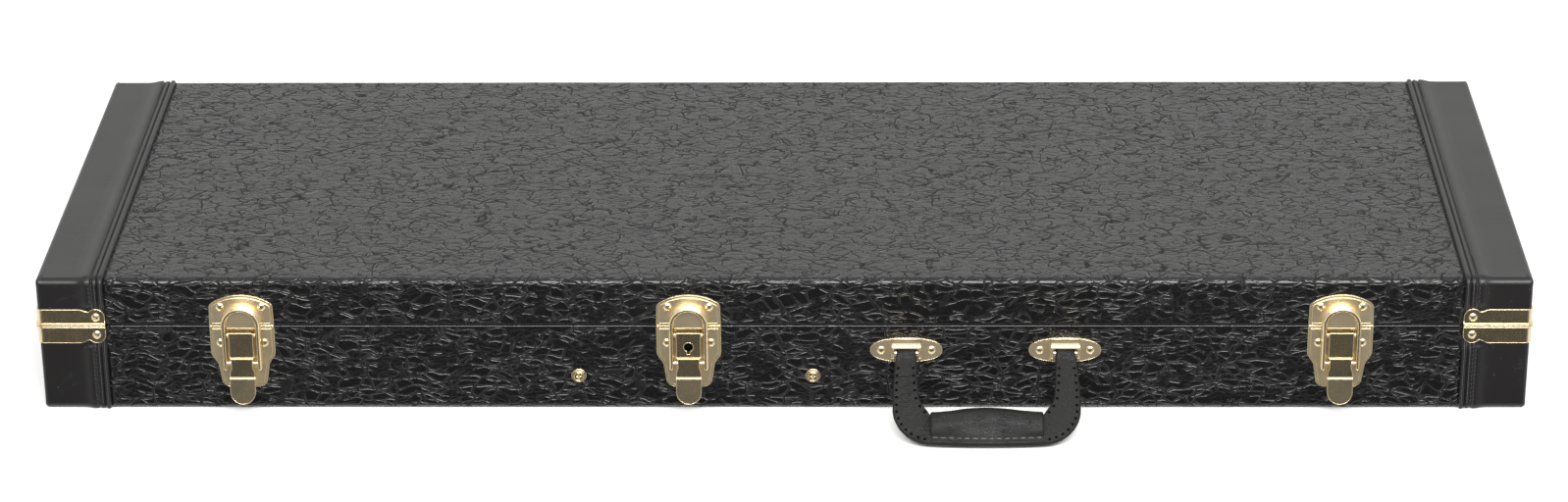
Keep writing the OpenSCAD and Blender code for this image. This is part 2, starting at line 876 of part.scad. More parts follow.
// Front view of the lever: a square head, a waist beside the bail's ends and a round thumb tab.
function lever_half() =
  let (w = lever_width / 2, q = lever_waist / 2, tab = w + 0.3)
  concat(
    [for (i = [0:8]) let (a = 90 * i / 8) [tab * sin(a), lever_end + tab * (1 - cos(a))]],
    [[tab, lever_step_2 + 1], [tab - 0.2, lever_step_2 + 3.5], [q + 0.4, lever_step_2 + 5.6],
     [q, lever_step_2 + 7], [q, lever_step_1 - 1.2], [w, lever_step_1 + 0.4], [w, lever_top]]
  );

// Side view of the lever as (height, distance out): three steps, each further out than the
// one above, ending in a flared tab.
function lever_side() =
  let (f = lever_front, back = lever_back, tip = f[2] + lever_tab_flare)
  [[lever_top, back], [lever_top, f[0]], [lever_step_1, f[0]], [lever_step_1 - 0.8, f[1]],
   [lever_step_2, f[1]], [lever_step_2 - 1, f[2]], [lever_end, tip], [lever_end, tip - tab_thickness],
   [lever_step_2 - 1.4, f[2] - tab_thickness], [lever_step_2 + 1, back + 2], [lever_step_2 + 4, back]];

// A pivot bore right across the lever.
module cross_bore(axis, r) {
  translate([-lever_width, axis[0], axis[1]]) rotate([0, 90, 0])
    cylinder(r = r + pin_clearance, h = 2 * lever_width, $fn = 32);
}

module lever(side) {
  color(brass) on_front(latch_xs[side], base_height) difference() {
    intersection() {
      prism(mirrored(lever_half()), 20);
      rotate([90, 0, 90]) translate([0, 0, -lever_width])
        linear_extrude(height = 2 * lever_width) polygon(lever_side());
    }
    // Hollow behind the skin, open to the back.
    translate([-lever_inner, hollow_end, -1])
      cube([2 * lever_inner, 30, lever_front[0] - lever_skin + 1]);
    translate([-lever_waist / 2 + 1.2, lever_step_2 + 2, -1])
      cube([lever_waist - 2.4, 18, lever_front[0] - lever_skin + 1]);
    cross_bore(lever_axis, lever_pin_radius);
    cross_bore(bail_axis, bail_pin_radius);
    if (side == MIDDLE) translate([0, lock_z, 0]) {
      cylinder(r = lock_radius + pin_clearance, h = 20, $fn = 48);
      translate([-keyhole_slot[0] / 2, -keyhole_slot[1], 0]) cube([keyhole_slot[0], keyhole_slot[1], 20]);
    }
  }
}

// The bail's section, (distance from the middle, distance out), with its front edges rounded.
function bail_section(back) = [
  [bail_inner, back], [bail_radius, back], [bail_radius, bail_front - bail_round],
  [bail_radius - bail_round, bail_front], [bail_inner + bail_round / 2, bail_front],
  [bail_inner, bail_front - bail_round / 2]
];

// The bail: an arched loop, two deeper legs below the parting line, and a stub pin turned
// in from the end of each leg.
module bail(side) {
  leg_end = bail_axis[0] - leg_tail;
  pin_start = bail_inner + bail_thickness / 2;
  pin_end = lever_waist / 2 - 1;
  color(brass) on_front(latch_xs[side], base_height) {
    arch(bail_section(arch_back), leg_top - cut);
    for (s = [0, 1]) mirror([s, 0, 0]) {
      translate([0, leg_top, 0]) rotate([90, 0, 0])
        linear_extrude(height = leg_top - leg_end) polygon(bail_section(leg_back));
      translate([pin_end, bail_axis[0], bail_axis[1]]) rotate([0, 90, 0])
        cylinder(r = bail_pin_radius, h = pin_start - pin_end, $fn = 32);
    }
  }
}

// The lock plug in the middle lever, with its post, keyway and the cam behind it.
module lock_cylinder() {
  keyway = lock_radius - 0.8;
  post = 0.9;
  color(dark_steel) on_front(latch_xs[MIDDLE], base_height) translate([0, lock_z, 0]) {
    difference() {
      translate([0, 0, cam_back]) cylinder(r = lock_radius, h = lock_front - cam_back, $fn = 48);
      translate([0, 0, lock_front - 3]) difference() {
        union() {
          cylinder(r = keyway, h = 5, $fn = 32);
          translate([-post, -lock_radius + 0.3, 0]) cube([2 * post, lock_radius, 5]);
        }
        cylinder(r = post, h = 2.6, $fn = 24);
      }
    }
    translate([-cam_thickness, -cam_reach, cam_back]) cube([2 * cam_thickness, cam_reach, cam_thickness]);
  }
}

module latch_plate_left() { latch_plate(LEFT); }
module latch_plate_middle() { latch_plate(MIDDLE); }
module latch_plate_right() { latch_plate(RIGHT); }
module keeper_plate_left() { keeper_plate(LEFT); }
module keeper_plate_middle() { keeper_plate(MIDDLE); }
module keeper_plate_right() { keeper_plate(RIGHT); }
module latch_lever_left() { lever(LEFT); }
module latch_lever_middle() { lever(MIDDLE); }
module latch_lever_right() { lever(RIGHT); }
module latch_bail_left() { bail(LEFT); }
module latch_bail_middle() { bail(MIDDLE); }
module latch_bail_right() { bail(RIGHT); }

// ---------- handle ----------

// The bracket's oval plate, as a fuller curve than an ellipse.
function oval(size, steps) = [
  for (i = [0:steps - 1])
    let (a = 360 * i / steps, c = cos(a), s = sin(a), p = 0.86)
    [size[0] * sign(c) * pow(abs(c), p), size[1] * sign(s) * pow(abs(s), p)]
];

// Side view of the hood as (height, distance out), moved inwards by a depth.
function hood_side(d) = concat(
  [[-7.6 + d, 0], [-6.4 + d, 5], [-3, 8.6 - d], [1, 9.4 - d], [4.6, 9.2 - d]],
  [for (i = [1:5]) let (a = 90 * i / 5) [4.6 + (4 - d) * sin(a), 9.2 - d - 6.6 * (1 - cos(a))]],
  [[8.6 - d, 0]]
);

module hood_side_prism(d, width) {
  rotate([90, 0, 90]) translate([0, 0, -width / 2])
    linear_extrude(height = width) polygon(hood_side(d));
}

// One bracket: an oval plate with a hood over the handle's eye, open below and in front.
module handle_bracket(x) {
  hood = 2 * (hood_inner + hood_wall);
  color(brass) on_front(x, handle_pivot_z) difference() {
    union() {
      prism(oval(bracket_size, 48), bracket_plate);
      hood_side_prism(0, hood);
    }
    translate([-hood_inner, -20, bracket_plate]) cube([2 * hood_inner, 24.8, 20]);
    translate([0, 0, bracket_plate]) intersection() {
      hood_side_prism(1.2, 2 * hood_inner);
      translate([-hood_inner, 0, 0]) cube([2 * hood_inner, 20, 20]);
    }
    translate([-hood, 0, handle_pivot_n]) rotate([0, 90, 0])
      cylinder(r = handle_pin_radius + pin_clearance / 2, h = 2 * hood, $fn = 32);
    for (s = [-1, 1]) translate([s * bracket_rivet_x, 0, 0])
      shank_hole(rivet_shank_radius, bracket_plate, 1);
  }
}

module handle_bracket_left() {
  handle_bracket(bracket_xs[0]);
}

module handle_bracket_right() {
  handle_bracket(bracket_xs[1]);
}

module handle_pins() {
  length = 2 * (hood_inner + hood_wall) - 0.2;
  color(brass) for (x = bracket_xs) on_front(x, handle_pivot_z)
    translate([-length / 2, 0, handle_pivot_n]) rotate([0, 90, 0])
      cylinder(r = handle_pin_radius, h = length, $fn = 32);
}

// Children drawn in the handle's own plane: X along the case, Y away from the pivots, Z up
// through the leather, at the angle where the handle rests.
module in_handle_plane() {
  translate([handle_x, front_y - handle_pivot_n, handle_pivot_z])
    rotate([handle_rest_angle, 0, 0]) rotate([0, 0, 180]) children();
}

// Outer and inner edges of one leg, from the pivot to the middle of the bar.
function handle_outer() =
  let (x0 = handle_span / 2 + leg_width / 2, x1 = x0 + leg_spread, r = handle_corner)
  concat(
    [[x0, 0], [x0 + 0.4 * leg_spread, 9], [x0 + 0.8 * leg_spread, 20], [x1, 32]],
    [for (i = [0:arc_steps * 2]) let (a = 90 * i / (arc_steps * 2))
      [x1 - r + r * cos(a), handle_reach - r + r * sin(a)]]
  );

function handle_inner() =
  let (x0 = handle_span / 2 - leg_width / 2)
  [[0, bar_inner + 3], [grip_length / 2 + 0.5, bar_inner + 3], [grip_length / 2 + 1.5, bar_inner - 0.5],
   [x0 - 4.5, bar_inner - 8], [x0 - 1.6, bar_inner - 15], [x0 - 0.8, 20], [x0, 0]];

function handle_outline() =
  let (half = concat(handle_inner(), handle_outer()))
  concat([for (i = [1:len(half) - 1]) half[i]],
         [for (i = [len(half) - 1:-1:1]) [-half[i][0], half[i][1]]]);

// A strap folded round both pins: one leather layer on each side of the core.
module handle_strap() {
  half = core_thickness / 2 + pin_clearance;
  color(smooth_vinyl) in_handle_plane() difference() {
    union() {
      for (z = [half, -half - leather]) translate([0, 0, z]) prism(handle_outline(), leather);
      for (s = [-1, 1]) translate([s * handle_span / 2 - leg_width / 2, 0, 0]) rotate([0, 90, 0])
        cylinder(r = eye_radius, h = leg_width, $fn = 48);
    }
    for (s = [-1, 1]) translate([s * handle_span / 2 - leg_width, 0, 0]) rotate([0, 90, 0])
      cylinder(r = handle_pin_radius + pin_clearance, h = 2 * leg_width, $fn = 32);
  }
}

module handle_core() {
  color(steel) in_handle_plane() translate([0, 0, -core_thickness / 2]) difference() {
    prism(inset_outline(handle_outline(), core_inset), core_thickness);
    translate([-handle_span, -10, -1]) cube([2 * handle_span, 10 + eye_radius + 1, core_thickness + 2]);
  }
}

// The grip's section as (away from the pivots, through the leather): a fat roll that thins
// to a stitched edge. The bulge pushes the roll towards the fingers.
function grip_section(bulge) =
  let (edge = handle_reach - 0.4, t = grip_thickness / 2, c = grip_inner - bulge + t)
  concat(
    [for (i = [0:8]) let (q = 90 + 180 * i / 8) [c + t * cos(q), t * sin(q)]],
    [[c + 5, -t * 0.94], [c + 10, -t * 0.66], [edge - 2.5, -t * 0.42], [edge, -t * 0.34],
     [edge, t * 0.34], [edge - 2.5, t * 0.42], [c + 10, t * 0.66], [c + 5, t * 0.94]]
  );

// The grip: a sleeve round the bar, fuller in the middle.
module handle_grip() {
  slot = core_thickness / 2 + leather + 2 * pin_clearance;
  color(smooth_vinyl) in_handle_plane() difference() {
    for (s = [0, 1]) mirror([s, 0, 0]) hull() {
      for (q = [[0, grip_bulge], [grip_length / 4, grip_bulge * 0.7], [grip_length / 2, 0]])
        translate([q[0], 0, 0]) rotate([90, 0, 90])
          linear_extrude(height = 0.01) polygon(grip_section(q[1]));
    }
    translate([-grip_length, bar_inner + 2.5, -slot]) cube([2 * grip_length, 60, 2 * slot]);
  }
}

// ---------- hinges ----------

// A leaf with its knuckles, drawn on the back face with Y up from the parting line.
// The base leaf has the two outer knuckles, the lid leaf the middle one.
module hinge_leaf(side) {
  r = hinge_barrel_radius;
  n = hinge_axis_y - back_y;
  gap = 0.25;
  near = r + 0.4;
  play = side > 0 ? pin_clearance : pin_clearance / 2;
  spans = side > 0 ? [[-knuckle / 2 + gap, knuckle / 2 - gap]]
    : [[-hinge_width / 2, -knuckle / 2 - gap], [knuckle / 2 + gap, hinge_width / 2]];
  difference() {
    union() {
      translate([-hinge_width / 2, side > 0 ? near : -hinge_leaf_height, 0])
        cube([hinge_width, hinge_leaf_height - near, hinge_leaf_thickness]);
      for (s = spans) {
        translate([s[0], 0, n]) rotate([0, 90, 0]) cylinder(r = r, h = s[1] - s[0], $fn = 48);
        translate([s[0], side > 0 ? 0 : -near - cut, n - r])
          cube([s[1] - s[0], near + cut, hinge_leaf_thickness]);
      }
    }
    translate([-hinge_width, 0, n]) rotate([0, 90, 0])
      cylinder(r = hinge_pin_radius + play, h = 2 * hinge_width, $fn = 32);
    for (s = [-1, 1]) translate([s * hinge_screw_x, side * hinge_screw_drop, 0])
      shank_hole(rivet_shank_radius, hinge_leaf_thickness, 1);
  }
}

module hinge_base_leaves() {
  color(brass) for (x = hinge_xs) on_back(x, hinge_axis_z) hinge_leaf(-1);
}

module hinge_lid_leaves() {
  color(brass) for (x = hinge_xs) on_back(x, hinge_axis_z) hinge_leaf(1);
}

module hinge_pins() {
  length = hinge_width - 0.4;
  color(brass) for (x = hinge_xs) translate([x - length / 2, hinge_axis_y, hinge_axis_z])
    rotate([0, 90, 0]) cylinder(r = hinge_pin_radius, h = length, $fn = 32);
}

module hinge_screws(side) {
  at_hinge_screws(side) translate([0, 0, hinge_leaf_thickness])
    rivet(rivet_head_radius, hinge_leaf_thickness);
}

module hinge_base_screws() {
  color(brass) hinge_screws(-1);
}

module hinge_lid_screws() {
  color(brass) hinge_screws(1);
}

// ---------- nodes ----------

base_boards();
base_bottom_panel();
base_covering();
base_end_cover_left();
base_end_cover_right();
base_welts();
base_wall_lining();
rim_tongue();
base_floor_pad();
dividers();
pocket_wall();
neck_rest();
neck_side_block();
body_pads();
latch_plate_left();
latch_plate_middle();
latch_plate_right();
latch_pivot_pins();
handle_bracket_left();
handle_bracket_right();
handle_pins();
base_rivets();
divider_screws();
cup_washers();
base_band_left();
base_band_right();
hinge_base_leaves();
hinge_pins();
hinge_base_screws();
lid_boards();
lid_top_panel();
lid_covering();
lid_end_cover_left();
lid_end_cover_right();
lid_welts();
lid_wall_lining();
lid_pad();
keeper_plate_left();
keeper_plate_middle();
keeper_plate_right();
lid_rivets();
lid_band_left();
lid_band_right();
hinge_lid_leaves();
hinge_lid_screws();
latch_lever_left();
latch_lever_middle();
latch_lever_right();
latch_bail_left();
latch_bail_middle();
latch_bail_right();
lock_cylinder();
handle_strap();
handle_core();
handle_grip();
pocket_lid();
pocket_pull_tab();
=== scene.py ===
"""Looks of a rectangular guitar case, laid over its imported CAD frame.

Every length in the mesh code is in millimetres in the case's own frame: +X along the length,
-Y the handle side, +Z up, with the origin at the centre of the underside.
"""

import math

import bpy
import numpy as np
from mathutils import Matrix, Vector, noise


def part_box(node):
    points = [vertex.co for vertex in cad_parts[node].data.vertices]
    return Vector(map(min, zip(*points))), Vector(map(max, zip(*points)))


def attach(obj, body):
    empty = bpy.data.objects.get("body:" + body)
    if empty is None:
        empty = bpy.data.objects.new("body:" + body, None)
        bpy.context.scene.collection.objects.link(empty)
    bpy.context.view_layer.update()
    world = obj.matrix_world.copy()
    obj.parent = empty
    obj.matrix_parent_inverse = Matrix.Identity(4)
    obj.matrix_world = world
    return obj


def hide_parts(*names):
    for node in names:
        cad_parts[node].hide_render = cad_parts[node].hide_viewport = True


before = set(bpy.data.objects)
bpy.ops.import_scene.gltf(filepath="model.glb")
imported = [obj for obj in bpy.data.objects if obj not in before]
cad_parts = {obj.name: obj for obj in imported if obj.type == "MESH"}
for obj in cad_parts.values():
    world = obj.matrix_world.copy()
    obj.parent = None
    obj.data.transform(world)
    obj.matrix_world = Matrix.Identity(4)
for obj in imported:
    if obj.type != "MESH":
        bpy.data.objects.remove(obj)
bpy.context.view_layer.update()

bl_info = {
    "name": "Guitar Case",
    "version": (1, 0, 0),
    "blender": (4, 5, 0),
    "location": "View3D > Sidebar > Guitar Case",
    "description": "Coverings, welts, fittings, handle and lining of a hard guitar case",
    "category": "Object",
}

MM = 0.001


def box_mm(node):
    """Lowest and highest corners of a CAD node, in millimetres."""
    low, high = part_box(node)
    return np.array(low) / MM, np.array(high) / MM


# Planes of the case, read from the frame.
COVER_LOW, COVER_HIGH = box_mm("base_covering")
FRONT = COVER_LOW[1]
BACK = COVER_HIGH[1]
WELT_X = COVER_HIGH[0]
COVER_X = box_mm("base_end_cover_right")[0][0]
END_X = box_mm("base_end_cover_right")[1][0]
TOP = box_mm("lid_covering")[1][2]
BASE_RIM = COVER_HIGH[2] + 0.2
LID_RIM = box_mm("lid_covering")[0][2] - 0.2
PARTING = 0.5 * (BASE_RIM + LID_RIM)
LINING_LOW, LINING_HIGH = box_mm("base_wall_lining")
LID_LINING_HIGH = box_mm("lid_wall_lining")[1]
BASE_BAND = box_mm("base_band_right")[0][2]
LID_BAND = box_mm("lid_band_right")[1][2]
PINS_LOW, PINS_HIGH = box_mm("handle_pins")


# Fixed sizes, in millimetres.
TUCK = 0.8  # how far the covering runs on under the welts
RIM_REACH = 2.2  # where the covering's fold over the rim ends, past the lining's face
COVER_CORNER = 3.0  # upright corners of the case
SEAMS = ((7.85, 0.34), (9.75, 0.30))  # the thread's place and radius in each row of the welt
EYE = 4.25  # the strap's fold round its pin
STRAP_HALF = 2.65  # half the strap's thickness
HOLE_LINE = 2.7  # from the strap's edge to its stitch holes
HOLE_RADIUS = 1.1
HOLE_RISE = 0.09
FLANGE = 24.0  # how far the wall linings run in under the pads


# ---------- sizes and colours ----------


class GuitarCaseVinyl(bpy.types.PropertyGroup):
    """The coverings of the boards and of the ends."""

    grain: bpy.props.FloatProperty(
        name="Grain", description="Size of one pebble of the grain",
        default=0.0056, min=0.001, max=0.02, unit="LENGTH")
    crease: bpy.props.FloatProperty(
        name="Crease depth", description="Depth of the creases between the pebbles",
        default=0.00085, min=0.0, max=0.003, unit="LENGTH")
    ripple: bpy.props.FloatProperty(
        name="Ripple", description="How far the glued vinyl lies off a true plane",
        default=0.0002, min=0.0, max=0.001, unit="LENGTH")
    long_edge: bpy.props.FloatProperty(
        name="Long edge radius", description="Radius of the long edges",
        default=0.005, min=0.002, max=0.01, unit="LENGTH")
    end_edge: bpy.props.FloatProperty(
        name="End edge radius", description="Radius of the edges round both ends",
        default=0.0032, min=0.001, max=0.008, unit="LENGTH")
    rim_edge: bpy.props.FloatProperty(
        name="Rim radius", description="Radius where the vinyl folds over the rim",
        default=0.0013, min=0.0005, max=0.003, unit="LENGTH")
    grained_colour: bpy.props.FloatVectorProperty(
        name="Grained vinyl", description="Colour of the grained covering",
        subtype="COLOR", size=3, default=(0.0040, 0.0039, 0.0040), min=0, max=1)
    smooth_colour: bpy.props.FloatVectorProperty(
        name="Smooth vinyl", description="Colour of the end covers and welts",
        subtype="COLOR", size=3, default=(0.0075, 0.0068, 0.0068), min=0, max=1)


class GuitarCaseWelt(bpy.types.PropertyGroup):
    """The welts and their stitching."""

    roll: bpy.props.FloatProperty(
        name="Roll height", description="Height of the rolled welt above the covering",
        default=0.002, min=0.0005, max=0.004, unit="LENGTH")
    band: bpy.props.FloatProperty(
        name="Band height", description="Height of the flat band beside the roll",
        default=0.00135, min=0.0005, max=0.003, unit="LENGTH")
    swell: bpy.props.FloatProperty(
        name="Cover swell", description="How far the cover stands up where it meets the stitching",
        default=0.0015, min=0.0, max=0.003, unit="LENGTH")
    pitch: bpy.props.FloatProperty(
        name="Stitch pitch", description="Distance from one stitch to the next",
        default=0.0032, min=0.0015, max=0.008, unit="LENGTH")


class GuitarCaseHandle(bpy.types.PropertyGroup):
    """The carrying handle."""

    reach: bpy.props.FloatProperty(
        name="Reach", description="From the pivots to the outer edge",
        default=0.072, min=0.05, max=0.1, unit="LENGTH")
    leg: bpy.props.FloatProperty(
        name="Leg width", description="Width of a leg at its eye",
        default=0.0138, min=0.01, max=0.02, unit="LENGTH")
    grip: bpy.props.FloatProperty(
        name="Grip length", description="Length of the rolled grip",
        default=0.078, min=0.05, max=0.1, unit="LENGTH")
    grip_thickness: bpy.props.FloatProperty(
        name="Grip thickness", description="Thickness of the rolled grip",
        default=0.016, min=0.01, max=0.03, unit="LENGTH")
    angle: bpy.props.FloatProperty(
        name="Rest angle", description="How far the handle hangs below the horizontal",
        default=math.radians(37.6), min=0.0, max=1.5, subtype="ANGLE")
    hole_pitch: bpy.props.FloatProperty(
        name="Hole pitch", description="Distance between the stitch holes along the legs",
        default=0.0057, min=0.002, max=0.01, unit="LENGTH")
    leather_colour: bpy.props.FloatVectorProperty(
        name="Leather", description="Colour of the handle's leather",
        subtype="COLOR", size=3, default=(0.0085, 0.0080, 0.0077), min=0, max=1)


class GuitarCaseMetal(bpy.types.PropertyGroup):
    """The gold-plated fittings."""

    plate_colour: bpy.props.FloatVectorProperty(
        name="Polished gold", description="Colour of the levers, loops, bands and rivets",
        subtype="COLOR", size=3, default=(0.89, 0.75, 0.49), min=0, max=1)
    satin_colour: bpy.props.FloatVectorProperty(
        name="Satin gold", description="Colour of the brackets and the latch plates",
        subtype="COLOR", size=3, default=(0.84, 0.71, 0.48), min=0, max=1)
    edge: bpy.props.FloatProperty(
        name="Edge bead", description="Radius of the polished beads along the edges",
        default=0.00025, min=0.0, max=0.001, unit="LENGTH")


class GuitarCaseLining(bpy.types.PropertyGroup):
    """The plush and the padding inside."""

    plush_colour: bpy.props.FloatVectorProperty(
        name="Plush", description="Colour of the plush",
        subtype="COLOR", size=3, default=(0.012, 0.012, 0.014), min=0, max=1)
    slack: bpy.props.FloatProperty(
        name="Slack", description="How much smaller a pad is cut before it is filled",
        default=0.002, min=0.0, max=0.005, unit="LENGTH")
    swell: bpy.props.FloatProperty(
        name="Swell", description="The furthest that a pad's skin may swell",
        default=0.0026, min=0.0, max=0.01, unit="LENGTH")


class GuitarCaseStage(bpy.types.PropertyGroup):
    """The camera, the floor and the lights."""

    camera_place: bpy.props.FloatVectorProperty(
        name="Camera", description="Place of the camera", subtype="TRANSLATION",
        size=3, unit="LENGTH", default=(0.0534, -2.9285, 1.3741))
    lens: bpy.props.FloatProperty(
        name="Lens", description="Focal length in millimetres", default=100.28, min=20, max=300)
    pitch: bpy.props.FloatProperty(
        name="Pitch", description="How far the camera looks down",
        default=math.radians(24.51), subtype="ANGLE")
    yaw: bpy.props.FloatProperty(
        name="Yaw", description="How far the camera turns aside",
        default=math.radians(-1.084), subtype="ANGLE")
    roll: bpy.props.FloatProperty(
        name="Roll", description="How far the camera leans",
        default=math.radians(-0.475), subtype="ANGLE")
    floor_colour: bpy.props.FloatVectorProperty(
        name="Floor", description="Colour of the floor",
        subtype="COLOR", size=3, default=(0.9, 0.9, 0.9), min=0, max=1)


GROUPS = {
    "guitar_case_vinyl": GuitarCaseVinyl,
    "guitar_case_welt": GuitarCaseWelt,
    "guitar_case_handle": GuitarCaseHandle,
    "guitar_case_metal": GuitarCaseMetal,
    "guitar_case_lining": GuitarCaseLining,
    "guitar_case_stage": GuitarCaseStage,
}


# ---------- shader maths ----------


class Sock:
    """A shader socket that takes part in arithmetic: each operator adds its Math node."""

    def __init__(self, finish, socket):
        self.finish = finish
        self.socket = socket

    def maths(self, operation, *values):
        names = dict(enumerate(values))
        return self.finish.node("ShaderNodeMath", {"operation": operation}, names)

    def __add__(self, other):
        return self.maths("ADD", self, other)

    __radd__ = __add__

    def __mul__(self, other):
        return self.maths("MULTIPLY", self, other)

    __rmul__ = __mul__

    def __sub__(self, other):
        return self.maths("SUBTRACT", self, other)

    def __rsub__(self, other):
        return self.maths("SUBTRACT", other, self)

    def __abs__(self):
        return self.maths("ABSOLUTE", self)

    def most(self, other):
        return self.maths("MAXIMUM", self, other)

    def least(self, other):
        return self.maths("MINIMUM", self, other)

    def step(self, low, high):
        """0 below low and 1 above high, with a smooth turn between them."""
        return self.finish.node(
            "ShaderNodeMapRange", {"interpolation_type": "SMOOTHSTEP"},
            {"Value": self, "From Min": low, "From Max": high})


class Finish:
    """The node tree of one material, or of the world."""

    def __init__(self, owner):
        owner.use_nodes = True
        self.owner = owner
        self.tree = owner.node_tree
        self.tree.nodes.clear()

    def node(self, kind, settings=None, inputs=None, output=0):
        """Adds a node: its settings first, then the values or links of its sockets."""
        made = self.tree.nodes.new(kind)
        for name, value in (settings or {}).items():
            if name == "stops":
                ramp = made.color_ramp.elements
                while len(ramp) < len(value):
                    ramp.new(0.5)
                for stop, (place, colour) in zip(ramp, value):
                    stop.position = place
                    stop.color = (*colour, 1.0)
            else:
                setattr(made, name, value)
        for name, value in (inputs or {}).items():
            if isinstance(value, Sock):
                self.tree.links.new(value.socket, made.inputs[name])
            else:
                made.inputs[name].default_value = value
        return Sock(self, made.outputs[output]) if made.outputs else made

    def split(self, vector):
        """The X, Y and Z of a vector."""
        axes = self.node("ShaderNodeSeparateXYZ", None, {0: vector}).socket.node.outputs
        return [Sock(self, axis) for axis in axes]

    def place(self):
        """Where a point lies on its own piece, in metres."""
        return self.node("ShaderNodeTexCoord", output="Object")

    def vector(self, operation, *values):
        return self.node("ShaderNodeVectorMath", {"operation": operation}, dict(enumerate(values)))

    def stretched(self, place, x, y, z):
        return self.vector("MULTIPLY", place, (x, y, z))

    def warped(self, place, scale, amount, detail=2.0):
        """A place moved by up to half of amount along each axis."""
        push = self.node("ShaderNodeTexNoise", None,
                         {"Vector": place, "Scale": scale, "Detail": detail}, "Color")
        half = -0.5 * amount
        return self.vector("ADD", place, self.vector(
            "MULTIPLY_ADD", push, (amount,) * 3, (half,) * 3))

    def cloud(self, place, scale, detail=3.0, roughness=0.5):
        return self.node("ShaderNodeTexNoise", None, {
            "Vector": place, "Scale": scale, "Detail": detail, "Roughness": roughness})

    def cells(self, place, scale, feature="DISTANCE_TO_EDGE"):
        return self.node("ShaderNodeTexVoronoi", {"feature": feature},
                         {"Vector": place, "Scale": scale}, "Distance")

    def blend(self, factor, first, second):
        """A colour between two colours."""
        return self.node("ShaderNodeMix", {"data_type": "RGBA"}, {
            0: factor, 6: first, 7: second}, 2)

    def bump(self, height, distance, strength=1.0, normal=None):
        inputs = {"Height": height, "Distance": distance, "Strength": strength}
        if normal is not None:
            inputs["Normal"] = normal
        return self.node("ShaderNodeBump", None, inputs)

    def surface(self, **sockets):
        """The closing Principled shader. Its sockets' names are written with underscores."""
        named = {name.replace("_", " "): value for name, value in sockets.items()}
        shader = self.node("ShaderNodeBsdfPrincipled", None, named)
        self.node("ShaderNodeOutputMaterial", None, {"Surface": shader})
        return self.owner


def rgba(colour, gain=1.0):
    return (colour[0] * gain, colour[1] * gain, colour[2] * gain, 1.0)


def open_finish(name):
    return Finish(bpy.data.materials.new(name))


def grained_vinyl():
    """Crinkle-grained vinyl: flat glossy pebbles between broken creases, with painted shade
    darkening the crease floors.
    """
    sizes = bpy.context.scene.guitar_case_vinyl
    f = open_finish("grained_vinyl")
    place = f.place()
    scale = 1.0 / sizes.grain
    drawn = f.stretched(f.warped(place, 34.0, 0.016), 0.44, 1.0, 1.0)
    bent = f.warped(drawn, 260.0, 0.0009, 1.0)
    wide = f.cells(bent, scale)
    fine = f.cells(f.vector("ADD", bent, (0.31, 0.17, 0.23)), scale * 1.8)
    long = f.cells(f.vector("ADD", drawn, (0.11, 0.37, 0.05)), scale * 0.36)
    patches = f.cloud(place, 90.0, 1.0)
    broken = patches.step(0.34, 0.54)
    crease = (1.0 - wide.step(0.0, 0.11)) * (0.10 + 0.90 * broken)
    hairs = (1.0 - fine.step(0.0, 0.14)) * (1.0 - 0.8 * broken)
    pulls = (1.0 - long.step(0.0, 0.05)) * patches.step(0.34, 0.48)
    clear_of_rims = abs(f.split(place)[2] - PARTING * MM).step(0.0012, 0.0030)
    pebble = f.cloud(place, 900.0, 3.0, 0.6)
    swell = f.cloud(place, 190.0, 2.0)
    height = (0.05 * swell - 0.62 * crease.most(pulls) - 0.13 * hairs + 0.015 * pebble) * (
        0.12 + 0.88 * clear_of_rims)
    # painted shade: the crease floors are darkened to 15% of the vinyl's colour and made rough and
    # half metallic so that they reflect little, standing in for the shade that falls in the creases
    painted_crease_shade = (1.0 - wide.step(0.0, 0.07)) * (0.05 + 0.95 * broken)
    painted_crease_shade = painted_crease_shade.most((1.0 - long.step(0.0, 0.03)) * patches.step(0.34, 0.48))
    painted_crease_shade = painted_crease_shade.most((1.0 - fine.step(0.0, 0.06)) * 0.6 * (1.0 - 0.6 * broken)) * clear_of_rims
    wear = f.cloud(place, 30.0, 3.0).step(0.45, 0.75)
    tone = f.blend(painted_crease_shade, rgba(sizes.grained_colour), rgba(sizes.grained_colour, 0.15))
    roughness = 0.18 + 0.06 * wear + 0.04 * pebble + 0.5 * painted_crease_shade
    return f.surface(Base_Color=tone, Roughness=roughness, Metallic=0.5 * painted_crease_shade,
                     Normal=f.bump(height, sizes.crease))


def smooth_vinyl():
    """Smooth satin vinyl with a very fine grain, faint rubs and a few pin specks."""
    sizes = bpy.context.scene.guitar_case_vinyl
    f = open_finish("smooth_vinyl")
    place = f.place()
    grain = f.cloud(place, 1500.0, 3.0, 0.6)
    waves = f.cloud(place, 26.0, 2.0)
    rubs = f.cloud(f.stretched(place, 24.0, 160.0, 60.0), 1.0, 4.0, 0.6)
    scratch = (1.0 - abs(rubs - 0.5).step(0.0, 0.006)) * waves.step(0.5, 0.62)
    specks = 1.0 - f.cells(place, 110.0, "F1").step(0.03, 0.055)
    height = 0.30 * waves + 0.05 * grain - 0.05 * scratch
    tone = f.blend(specks * 0.35 + scratch * 0.10, rgba(sizes.smooth_colour),
                   (0.16, 0.16, 0.17, 1.0))
    roughness = 0.29 + 0.10 * waves + 0.05 * grain
    return f.surface(Base_Color=tone, Roughness=roughness, Specular_IOR_Level=0.38,
                     Normal=f.bump(height, 0.0006))


def thread():
    """Waxed black thread, with its twist."""
    f = open_finish("stitch_thread")
    place = f.place()
    twist = f.cloud(place, 2600.0, 1.0)
    tone = f.blend(twist, (0.006, 0.006, 0.006, 1.0), (0.035, 0.034, 0.033, 1.0))
    return f.surface(Base_Color=tone, Roughness=0.35 + 0.2 * twist,
                     Normal=f.bump(twist, 0.0003))


